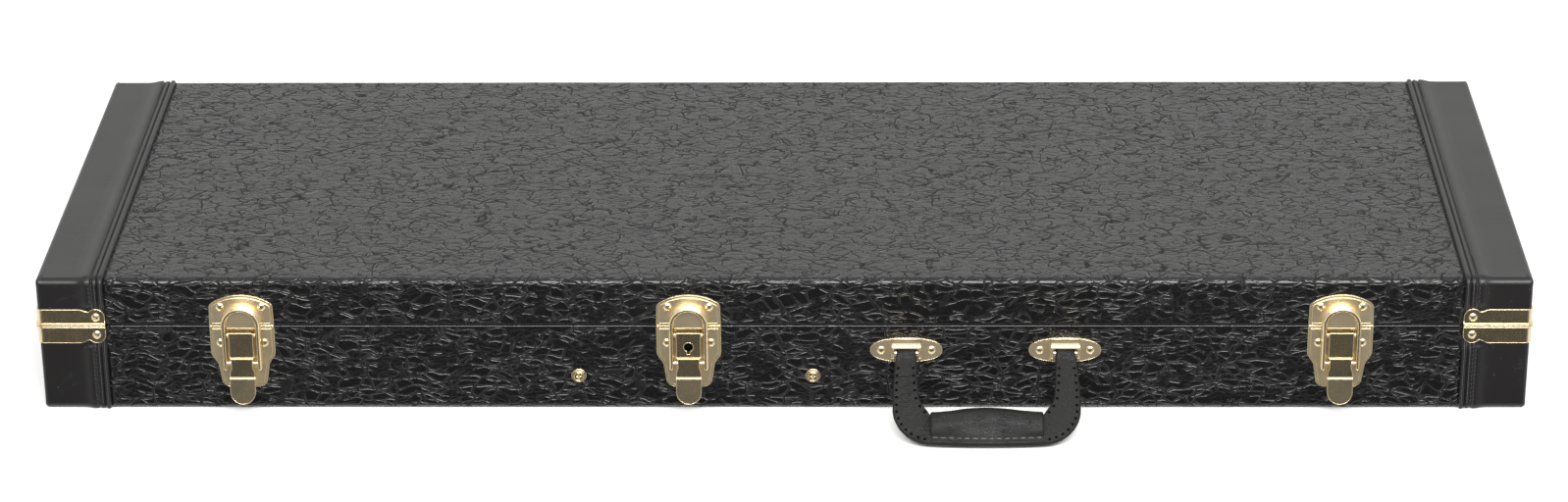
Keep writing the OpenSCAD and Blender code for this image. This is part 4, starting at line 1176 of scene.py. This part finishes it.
class GuitarCaseStrap(bpy.types.Operator):
    """Folds the handle's leather strap round its pins and lays black discs of painted shade where
    its stitch holes are
    """

    bl_idname = "guitar_case.strap"
    bl_label = "Handle strap"

    def execute(self, context):
        sizes = context.scene.guitar_case_handle
        plane = HandlePlane(sizes)
        outer, inner = plane.edges()
        stations = [(o, i) for o, i in zip(outer, inner)]
        stations += [(o * (-1, 1), i * (-1, 1)) for o, i in stations[::-1][1:]]
        marks = np.concatenate([np.linspace(-1, -0.8, 7)[:-1], np.linspace(-0.8, 0.8, 17),
                                np.linspace(0.8, 1, 7)[1:]])
        grid = []
        for o, i in stations:
            mid, half = (o + i) / 2, np.linalg.norm(o - i) / 2
            way = (o - i) / (2 * half)
            away = min(o[1], i[1])
            if away < 0:
                thick = math.sqrt(max(EYE ** 2 - away ** 2, 0.04))
            else:
                thick = self.thickness(away)
            ring = []
            for face in (1, -1):
                for v in (marks if face > 0 else marks[::-1][1:-1]):
                    h = face * strap_height(v * half, half, thick)
                    p = mid + way * v * half
                    ring.append(plane.place(p[0], p[1], h))
            grid.append(ring)
        grid = np.array(grid)
        rows, columns = grid.shape[:2]
        faces = grid_faces(rows, columns, wrap=True)
        faces.append(tuple(range(columns)))
        faces.append(tuple((rows - 1) * columns + k for k in range(columns))[::-1])
        strap = new_piece("handle_leather_strap", grid.reshape(-1, 3), faces, "handle_leather")
        turn_outwards(strap)
        settle(strap, "handle", "handle_leather", "handle_strap")
        self.punch(sizes, plane, outer, inner)
        return {"FINISHED"}

    def thickness(self, away):
        """Half the strap's thickness: the fold round the pin hugs it, then both layers lie flat."""
        return max(math.sqrt(max(EYE ** 2 - away ** 2, 0.0)), STRAP_HALF)

    def punch(self, sizes, plane, outer, inner):
        """Small black discs along both edges of the legs, on both faces: painted shade where the
        stitch holes are.
        """
        parts = []
        pitch = sizes.hole_pitch / MM
        for edge, other, stop in ((outer, inner, 38.0), (inner, outer, 37.0)):
            steps = travelled(edge)
            for n in range(60):
                s = 17.0 + n * pitch
                if s > steps[-1]:
                    break
                p = np.array([np.interp(s, steps, edge[:, k]) for k in (0, 1)])
                q = np.array([np.interp(s + 0.5, steps, edge[:, k]) for k in (0, 1)])
                k = int(np.interp(s, steps, np.arange(len(edge))))
                inward = other[k] - p
                ahead = (q - p) / max(np.linalg.norm(q - p), 1e-6)
                inward = inward - ahead * np.dot(inward, ahead)
                inward = inward / np.linalg.norm(inward)
                spot = p + inward * HOLE_LINE
                if spot[0] < stop or spot[1] < 8.0:
                    continue
                half = np.linalg.norm(outer[k] - inner[k]) / 2
                for sx in (-1, 1):
                    for face in (-1, 1):
                        ring = []
                        for r, a in [(HOLE_RADIUS, 36 * a) for a in range(10)] + [(0.0, 0)]:
                            across = r * math.cos(math.radians(a))
                            x, away = spot + inward * across + ahead * r * math.sin(math.radians(a))
                            up = HOLE_RISE + strap_height(
                                half - HOLE_LINE - across, half, self.thickness(away))
                            ring.append(plane.place(sx * x, away, face * up))
                        parts.append((ring, [(a, (a + 1) % 10, 10) for a in range(10)]))
        # painted shade: flat black discs laid just over the leather stand for the stitch holes
        holes = joined("handle_stitch_hole_shade", parts, "hole")
        settle(holes, "handle", "handle_leather")


class GuitarCaseGrip(bpy.types.Operator):
    """Rolls the grip's leather round the bar and sews it along its outer edge"""

    bl_idname = "guitar_case.grip"
    bl_label = "Handle grip"

    def outline(self, plane, x):
        """The grip's section at x, as (away, up) control points."""
        t = plane.thick / 2
        u = abs(x) / (plane.grip / 2)
        bulge = 3.4 * (1.0 - smooth_ramp(u, 0.0, 1.0))
        centre = 46.0 - bulge + t
        edge = plane.reach - 0.15 - 1.3 * (x / 42.0) ** 2
        rows = [(centre + t * math.cos(math.radians(q)), t * math.sin(math.radians(q)))
                for q in range(90, 271, 20)]
        low = [(centre + 5, -t * 0.94), (centre + 9.5, -t * 0.72), (edge - 5.0, -t * 0.44),
               (edge - 2.6, -t * 0.36), (edge - 0.7, -t * 0.36), (edge, -t * 0.22)]
        return rows + low + [(a, -u2) for a, u2 in low[::-1]]

    def execute(self, context):
        plane = HandlePlane(context.scene.guitar_case_handle)
        half = plane.grip / 2
        stations = np.concatenate([[-half], -half + np.array([0.25, 0.7, 1.3]),
                                   np.linspace(-half + 2.5, half - 2.5, 52),
                                   half - np.array([1.3, 0.7, 0.25]), [half]])
        grid = []
        for x in stations:
            ring = self.outline(plane, x)
            ring = spline(ring + [ring[0]], 61)[:-1]
            ends = min(half - abs(x), 1.3) / 1.3
            shrink = 1.5 * (1.0 - math.sqrt(max(1.0 - (1.0 - ends) ** 2, 0.0)))
            line = []
            for k, (away, up) in enumerate(ring):
                centre = np.array([57.0, 0.0])
                ray = np.array([away, up]) - centre
                ray = ray / np.linalg.norm(ray)
                fold = noise.noise(Vector((x * 0.09, away * 0.16, up * 0.2 + 3.0)))
                pucker = 0.12 * math.cos(2 * math.pi * x / 5.5) * smooth_ramp(away, 62.0, 69.0)
                push = 0.42 * fold * (1.0 - smooth_ramp(away, 60.0, 66.0)) - shrink - 0.3
                groove = 0.42 * math.exp(-((away - (plane.reach - 4.4)) / 0.7) ** 2)
                up = up - math.copysign(groove + pucker * 0.5, up)
                line.append(plane.place(x, away + ray[0] * push, up + ray[1] * push))
            grid.append(line)
        grid = np.array(grid)
        rows, columns = grid.shape[:2]
        faces = grid_faces(rows, columns, wrap=True)
        faces.append(tuple(range(columns)))
        faces.append(tuple((rows - 1) * columns + k for k in range(columns))[::-1])
        grip = new_piece("handle_rolled_grip", grid.reshape(-1, 3), faces, "handle_leather")
        turn_outwards(grip)
        settle(grip, "handle", "handle_leather", "handle_grip")
        self.sew(plane, half)
        return {"FINISHED"}

    def sew(self, plane, half):
        """A row of thread on both faces, close to the outer edge."""
        parts = []
        for face in (-1, 1):
            for n in range(14):
                x = -half + 3.3 + n * 5.5
                path = []
                for q in (-0.5, -0.3, 0.0, 0.3, 0.5):
                    px = x + q * 3.6
                    away = plane.reach - 4.5 - 1.3 * (px / 42.0) ** 2
                    h = plane.thick / 2 * 0.40 - 0.35 + 0.42 - 1.6 * q * q
                    path.append(plane.place(px, away, face * h))
                parts.append(long_tube(path, 0.42, 7, 0.5))
        stitches = joined("handle_grip_stitches", parts, "grip_thread")
        settle(stitches, "handle", "handle_leather")


# ---------- the lining and the padding ----------


def ring_points(section, half_x, half_y, corner):
    """Sweeps a section of (inset, z) round the inside of the case."""
    spots = []
    for k, (sx, sy) in enumerate(((1, 1), (-1, 1), (-1, -1), (1, -1))):
        for a in range(0, 91, 15):
            spots.append((sx, sy, math.radians(90 * k + a)))
    grid = []
    reach = 0.95 * corner
    runs = (half_x - corner, half_y - corner)
    for inset, z in section:
        r = corner - min(inset, reach)
        past = max(inset - reach, 0)
        bends = [(sx * (half_x - corner - past) + r * math.cos(a),
                  sy * (half_y - corner - past) + r * math.sin(a)) for sx, sy, a in spots]
        line = []
        for i, p in enumerate(bends):
            q = bends[(i + 1) % len(bends)]
            cuts = int(round(runs[(i // 7) % 2] / 7.0)) if i % 7 == 6 else 1
            for c in range(cuts):
                line.append((p[0] + (q[0] - p[0]) * c / cuts, p[1] + (q[1] - p[1]) * c / cuts, z))
        grid.append(line)
    return np.array(grid)


def ring_piece(name, section, half_x, half_y, corner, closed, material):
    grid = ring_points(section, half_x, half_y, corner)
    rows, columns = grid.shape[:2]
    faces = grid_faces(rows, columns, wrap=True)
    if closed:
        top = (rows - 1) * columns
        faces += [(top + c, top + (c + 1) % columns, (c + 1) % columns, c) for c in range(columns)]
    points = grid.reshape(-1, 3)
    for p in points:
        wander = 0.25 * (wavy(p[0] * 1.5, p[1] + p[2] * 3, 9.0) - 0.5)
        p[0] -= math.copysign(wander, p[0])
        p[1] -= math.copysign(wander, p[1])
    return new_piece(name, points, faces, material)


class GuitarCaseLinings(bpy.types.Operator):
    """Lines the walls with plush and covers the locating tongue"""

    bl_idname = "guitar_case.linings"
    bl_label = "Wall linings"

    def execute(self, context):
        x, y = LINING_HIGH[0], LINING_HIGH[1]
        section = [(0.3, 64.4), (1.6, 64.5), (2.25, 63.9), (2.5, 62.5)]
        foot = box_mm("base_floor_pad")[0][2] + 0.15
        section += [(2.45, z) for z in np.linspace(60.0, 20.0, 12)]
        section += [(2.4, 12.0), (2.4, foot), (FLANGE, foot)]
        wall = ring_piece("base_plush_walls", section, x, y, 6.0, False, "plush")
        settle(wall, "base", "plush", "base_wall_lining")

        lid = LID_LINING_HIGH
        section = [(0.3, 65.6), (1.4, 65.5), (1.85, 66.2), (2.0, 67.5)]
        foot = box_mm("lid_pad")[1][2] - 0.15
        section += [(1.95, z) for z in np.linspace(70.0, 84.0, 6)]
        section += [(1.9, 92.0), (1.9, foot), (FLANGE, foot)]
        cap = ring_piece("lid_plush_walls", section, lid[0], lid[1], 6.0, False, "plush")
        settle(cap, "lid", "plush", "lid_wall_lining")

        high = box_mm("rim_tongue")[1]
        section = [(0.15, 60.0), (0.05, 64.0), (0.1, 68.0), (0.35, 70.0), (0.9, 70.75),
                   (1.5, 70.95), (2.1, 70.75), (2.65, 70.0), (2.9, 68.0), (2.95, 64.0),
                   (2.9, 61.0), (2.5, 59.8),
                   (1.5, 59.6), (0.6, 59.7)]
        tongue = ring_piece("plush_rim_tongue", section, high[0], high[1], 5.0, True, "plush")
        turn_outwards(tongue)
        settle(tongue, "base", "plush", "rim_tongue")
        return {"FINISHED"}


# Thick pads: CAD node, piece, body, voxel, share of the lining's slack and swell, and fill.
PADS = (
    ("base_floor_pad", "floor_plush_pad", "base", 0.006, 1.0, 0.7),
    ("lid_pad", "lid_plush_pad", "lid", 0.006, 1.0, 0.7),
    ("body_pads", "body_plush_pads", "base", 0.005, 1.0, 0.8),
    ("neck_side_block", "neck_side_plush_block", "base", 0.005, 1.0, 0.8),
    ("neck_rest", "neck_plush_rest", "base", 0.0035, 0.7, 0.8))

# Thin covered boards: CAD node, piece, body, voxel, slack and swell.
BOARDS = (
    ("dividers", "plush_dividers", "base", 0.003, 0.0012, 0.0014),
    ("pocket_wall", "plush_pocket_wall", "base", 0.003, 0.0012, 0.0014),
    ("pocket_lid", "plush_pocket_lid", "pocket_lid", 0.002, 0.0007, 0.0009))


def swollen(node, name, body, voxel, slack, swell):
    """A pad in the space of a CAD solid: remeshed, cut smaller and filled by cloth pressure."""
    scene = bpy.context.scene
    piece = bpy.data.objects.new(name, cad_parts[node].data.copy())
    scene.collection.objects.link(piece)
    piece.data.materials.clear()
    close = piece.modifiers.new("Close", "WELD")
    close.merge_threshold = 0.000005
    grain = piece.modifiers.new("Remesh", "REMESH")
    grain.mode = "VOXEL"
    grain.voxel_size = voxel
    grain.use_smooth_shade = True
    relax = piece.modifiers.new("Relax", "SMOOTH")
    relax.factor = 0.5
    relax.iterations = 3
    baked(piece)
    mesh = piece.data
    rest = np.zeros(len(mesh.vertices) * 3)
    normal = np.zeros(len(mesh.vertices) * 3)
    mesh.vertices.foreach_get("co", rest)
    mesh.vertex_normals.foreach_get("vector", normal)
    rest = rest.reshape(-1, 3) - slack * normal.reshape(-1, 3)
    mesh.vertices.foreach_set("co", rest.ravel())
    mesh.update()
    cloth = piece.modifiers.new("Cloth", "CLOTH")
    cloth.settings.use_pressure = True
    cloth.settings.uniform_pressure_force = 4.0
    cloth.settings.effector_weights.gravity = 0.0
    cloth.settings.quality = 4
    cloth.point_cache.frame_start = 1
    cloth.point_cache.frame_end = 20
    for step in range(1, 21):
        scene.frame_set(step)
    graph = bpy.context.evaluated_depsgraph_get()
    grown = np.zeros(len(mesh.vertices) * 3)
    piece.evaluated_get(graph).data.vertices.foreach_get("co", grown)
    grown = grown.reshape(-1, 3)
    piece.modifiers.clear()
    scene.frame_set(1)
    move = grown - rest
    length = np.linalg.norm(move, axis=1, keepdims=True)
    move = move * np.minimum(1.0, swell / np.maximum(length, 1e-9))
    low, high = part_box(node)
    grown = np.clip(rest + move, np.array(low), np.array(high))
    mesh.vertices.foreach_set("co", grown.ravel())
    mesh.update()
    finer = piece.modifiers.new("Finer", "SUBSURF")
    finer.levels = 1
    finer.render_levels = 1
    baked(piece)
    piece.data.polygons.foreach_set("use_smooth", [True] * len(piece.data.polygons))
    piece.data.materials.clear()
    piece.data.materials.append(finish("plush"))
    settle(piece, body, "plush", node)
    return piece


class GuitarCasePads(bpy.types.Operator):
    """Fills the plush pads of the floor, the lid, the body well and the neck"""

    bl_idname = "guitar_case.pads"
    bl_label = "Padding"

    def execute(self, context):
        sizes = context.scene.guitar_case_lining
        for node, name, body, voxel, share, fill in PADS:
            swollen(node, name, body, voxel, sizes.slack * share, sizes.swell * share)
        return {"FINISHED"}


class GuitarCasePocket(bpy.types.Operator):
    """Covers the dividers, the pocket's wall and its lid, and sews on the pull tab"""

    bl_idname = "guitar_case.pocket"
    bl_label = "Dividers and pocket"

    def execute(self, context):
        for node, name, body, voxel, slack, swell in BOARDS:
            swollen(node, name, body, voxel, slack, swell)
        self.pull_tab()
        return {"FINISHED"}

    def pull_tab(self):
        """A folded ribbon with a loop for one finger, sewn down at one end."""
        low, high = box_mm("pocket_pull_tab")
        run = np.linspace(low[1], high[1], 25)
        grid = []
        for face in (0, 1):
            for y in (run if face == 0 else run[::-1]):
                t = (y - low[1]) / (high[1] - low[1])
                rise = 0.35 * math.sin(math.pi * min(t / 0.6, 1.0)) + 0.05
                z = low[2] + rise + (0.5 if face else 0.0)
                line = []
                for u in np.linspace(-1, 1, 9):
                    narrowed = 1 - 0.03 * math.sin(math.pi * t)
                    x = (low[0] + high[0]) / 2 + u * (high[0] - low[0]) / 2 * narrowed
                    line.append((x, y, z - 0.05 * abs(u) ** 3))
                grid.append(line)
        grid = np.array(grid)
        rows, columns = grid.shape[:2]
        faces = grid_faces(rows, columns)
        top = (rows - 1) * columns
        faces += [(top + c, top + c + 1, c + 1, c) for c in range(columns - 1)]
        for c in (0, columns - 1):
            for r in range(rows // 2 - 1):
                a, b = r * columns + c, (r + 1) * columns + c
                d, e = (rows - 1 - r) * columns + c, (rows - 2 - r) * columns + c
                faces.append((a, b, e, d) if c else (d, e, b, a))
        tab = new_piece("pocket_ribbon_tab", grid.reshape(-1, 3), faces, "ribbon")
        turn_outwards(tab)
        settle(tab, "pocket_lid", "ribbon", "pocket_pull_tab")
        parts = []
        x0, x1, y0, y1 = low[0] + 2.5, high[0] - 2.5, high[1] - 11.0, high[1] - 2.5
        box = [(x0, y0), (x1, y0), (x1, y1), (x0, y1), (x0, y0), (x1, y1), (x1, y0), (x0, y1)]
        for p, q in zip(box, box[1:]):
            length = math.hypot(q[0] - p[0], q[1] - p[1])
            for n in range(int(length / 2.4)):
                path = []
                for k in (0.1, 0.3, 0.5, 0.7, 0.9):
                    t = (n + k) / int(length / 2.4)
                    path.append((p[0] + (q[0] - p[0]) * t, p[1] + (q[1] - p[1]) * t,
                                 low[2] + 0.62 - 0.9 * (k - 0.5) ** 2))
                parts.append(long_tube(path, 0.2, 5))
        sewn = joined("pocket_tab_stitches", parts, "thread")
        settle(sewn, "pocket_lid", "ribbon")


# ---------- the stage ----------


class GuitarCaseSetStage(bpy.types.Operator):
    """Sets the camera, a pale floor, soft lights and the studio round them"""

    bl_idname = "guitar_case.set_stage"
    bl_label = "Studio stage"

    def execute(self, context):
        sizes = context.scene.guitar_case_stage
        self.camera(context, sizes)
        self.floor(context)
        self.studio(context)
        self.lamp(context, "front_softbox", (0.2, -1.65, 1.5), (0.0, 0.0, 0.0), (2.8, 1.0), 105.0)
        context.scene.view_settings.view_transform = "Standard"
        return {"FINISHED"}

    def camera(self, context, sizes):
        p, w, r = sizes.pitch, sizes.yaw, sizes.roll
        ahead = Vector((math.sin(w) * math.cos(p), math.cos(w) * math.cos(p), -math.sin(p)))
        right = Vector((math.cos(w), -math.sin(w), 0.0))
        up = right.cross(ahead)
        side = math.cos(r) * right + math.sin(r) * up
        over = -math.sin(r) * right + math.cos(r) * up
        data = bpy.data.cameras.new("studio_camera")
        data.sensor_width = 36.0
        data.lens = sizes.lens
        data.clip_end = 200.0
        camera = bpy.data.objects.new("studio_camera", data)
        turn = Matrix((side, over, -ahead)).transposed().to_4x4()
        camera.matrix_world = Matrix.Translation(sizes.camera_place) @ turn
        context.scene.collection.objects.link(camera)
        context.scene.camera = camera

    def floor(self, context):
        size = 60.0
        cuts = 12
        line = np.linspace(-size, size, cuts)
        points = [(x / MM, y / MM, -0.4) for y in line for x in line]
        floor = new_piece("studio_floor", points, grid_faces(cuts, cuts), "floor")
        if floor.data.polygons[0].normal.z < 0:
            floor.data.flip_normals()
        floor.visible_glossy = False

    def studio(self, context):
        """A white room, dark only in front of the case and below it."""
        world = bpy.data.worlds.new("studio")
        context.scene.world = world
        f = Finish(world)
        way = f.node("ShaderNodeTexCoord", output="Generated")
        x, y, z = f.split(way)
        off_front = x * x * 0.8 + (y + 0.90) * (y + 0.90) + (z + 0.38) * (z + 0.38)
        dark = 1.0 - off_front.step(0.05, 0.42)
        ahead = (0.0 - y).step(0.15, 0.70) * z.step(-0.60, -0.10)
        light = (1.05 - 0.73 * ahead) * (1.0 - dark) + 0.05 * dark
        tone = f.node("ShaderNodeBackground", None, {
            "Color": (1.0, 0.995, 0.985, 1.0), "Strength": light})
        f.node("ShaderNodeOutputWorld", None, {"Surface": tone})

    def lamp(self, context, name, place, target, size, power):
        data = bpy.data.lights.new(name, "AREA")
        data.shape = "RECTANGLE"
        data.size, data.size_y = size
        data.energy = power
        lamp = bpy.data.objects.new(name, data)
        lamp.location = place
        lamp.rotation_euler = (Vector(target) - Vector(place)).to_track_quat("-Z", "Y").to_euler()
        context.scene.collection.objects.link(lamp)


OPERATORS = [
    GuitarCaseSetStage, GuitarCaseCoverings, GuitarCaseWelts, GuitarCaseEndCovers,
    GuitarCaseStitching, GuitarCaseFittings, GuitarCaseStrap, GuitarCaseGrip,
    GuitarCaseLinings, GuitarCasePads, GuitarCasePocket]


class GuitarCasePanel(bpy.types.Panel):
    """The guitar case's sizes, colours and pieces"""

    bl_idname = "VIEW3D_PT_guitar_case"
    bl_label = "Guitar Case"
    bl_space_type = "VIEW_3D"
    bl_region_type = "UI"
    bl_category = "Guitar Case"

    def draw(self, context):
        for name in GROUPS:
            group = getattr(context.scene, name)
            box = self.layout.box()
            box.label(text=name.replace("guitar_case_", "").capitalize())
            for key in group.__annotations__:
                box.prop(group, key)
        for operator in OPERATORS:
            self.layout.operator(operator.bl_idname)


def register():
    for group in GROUPS.values():
        bpy.utils.register_class(group)
    for operator in OPERATORS:
        bpy.utils.register_class(operator)
    bpy.utils.register_class(GuitarCasePanel)
    for name, group in GROUPS.items():
        setattr(bpy.types.Scene, name, bpy.props.PointerProperty(type=group))


def unregister():
    for name in GROUPS:
        delattr(bpy.types.Scene, name)
    bpy.utils.unregister_class(GuitarCasePanel)
    for operator in reversed(OPERATORS):
        bpy.utils.unregister_class(operator)
    for group in reversed(list(GROUPS.values())):
        bpy.utils.unregister_class(group)


def main():
    register()
    for operator in OPERATORS:
        getattr(bpy.ops.guitar_case, operator.bl_idname.split(".")[1])()


if __name__ == "__main__":
    main()
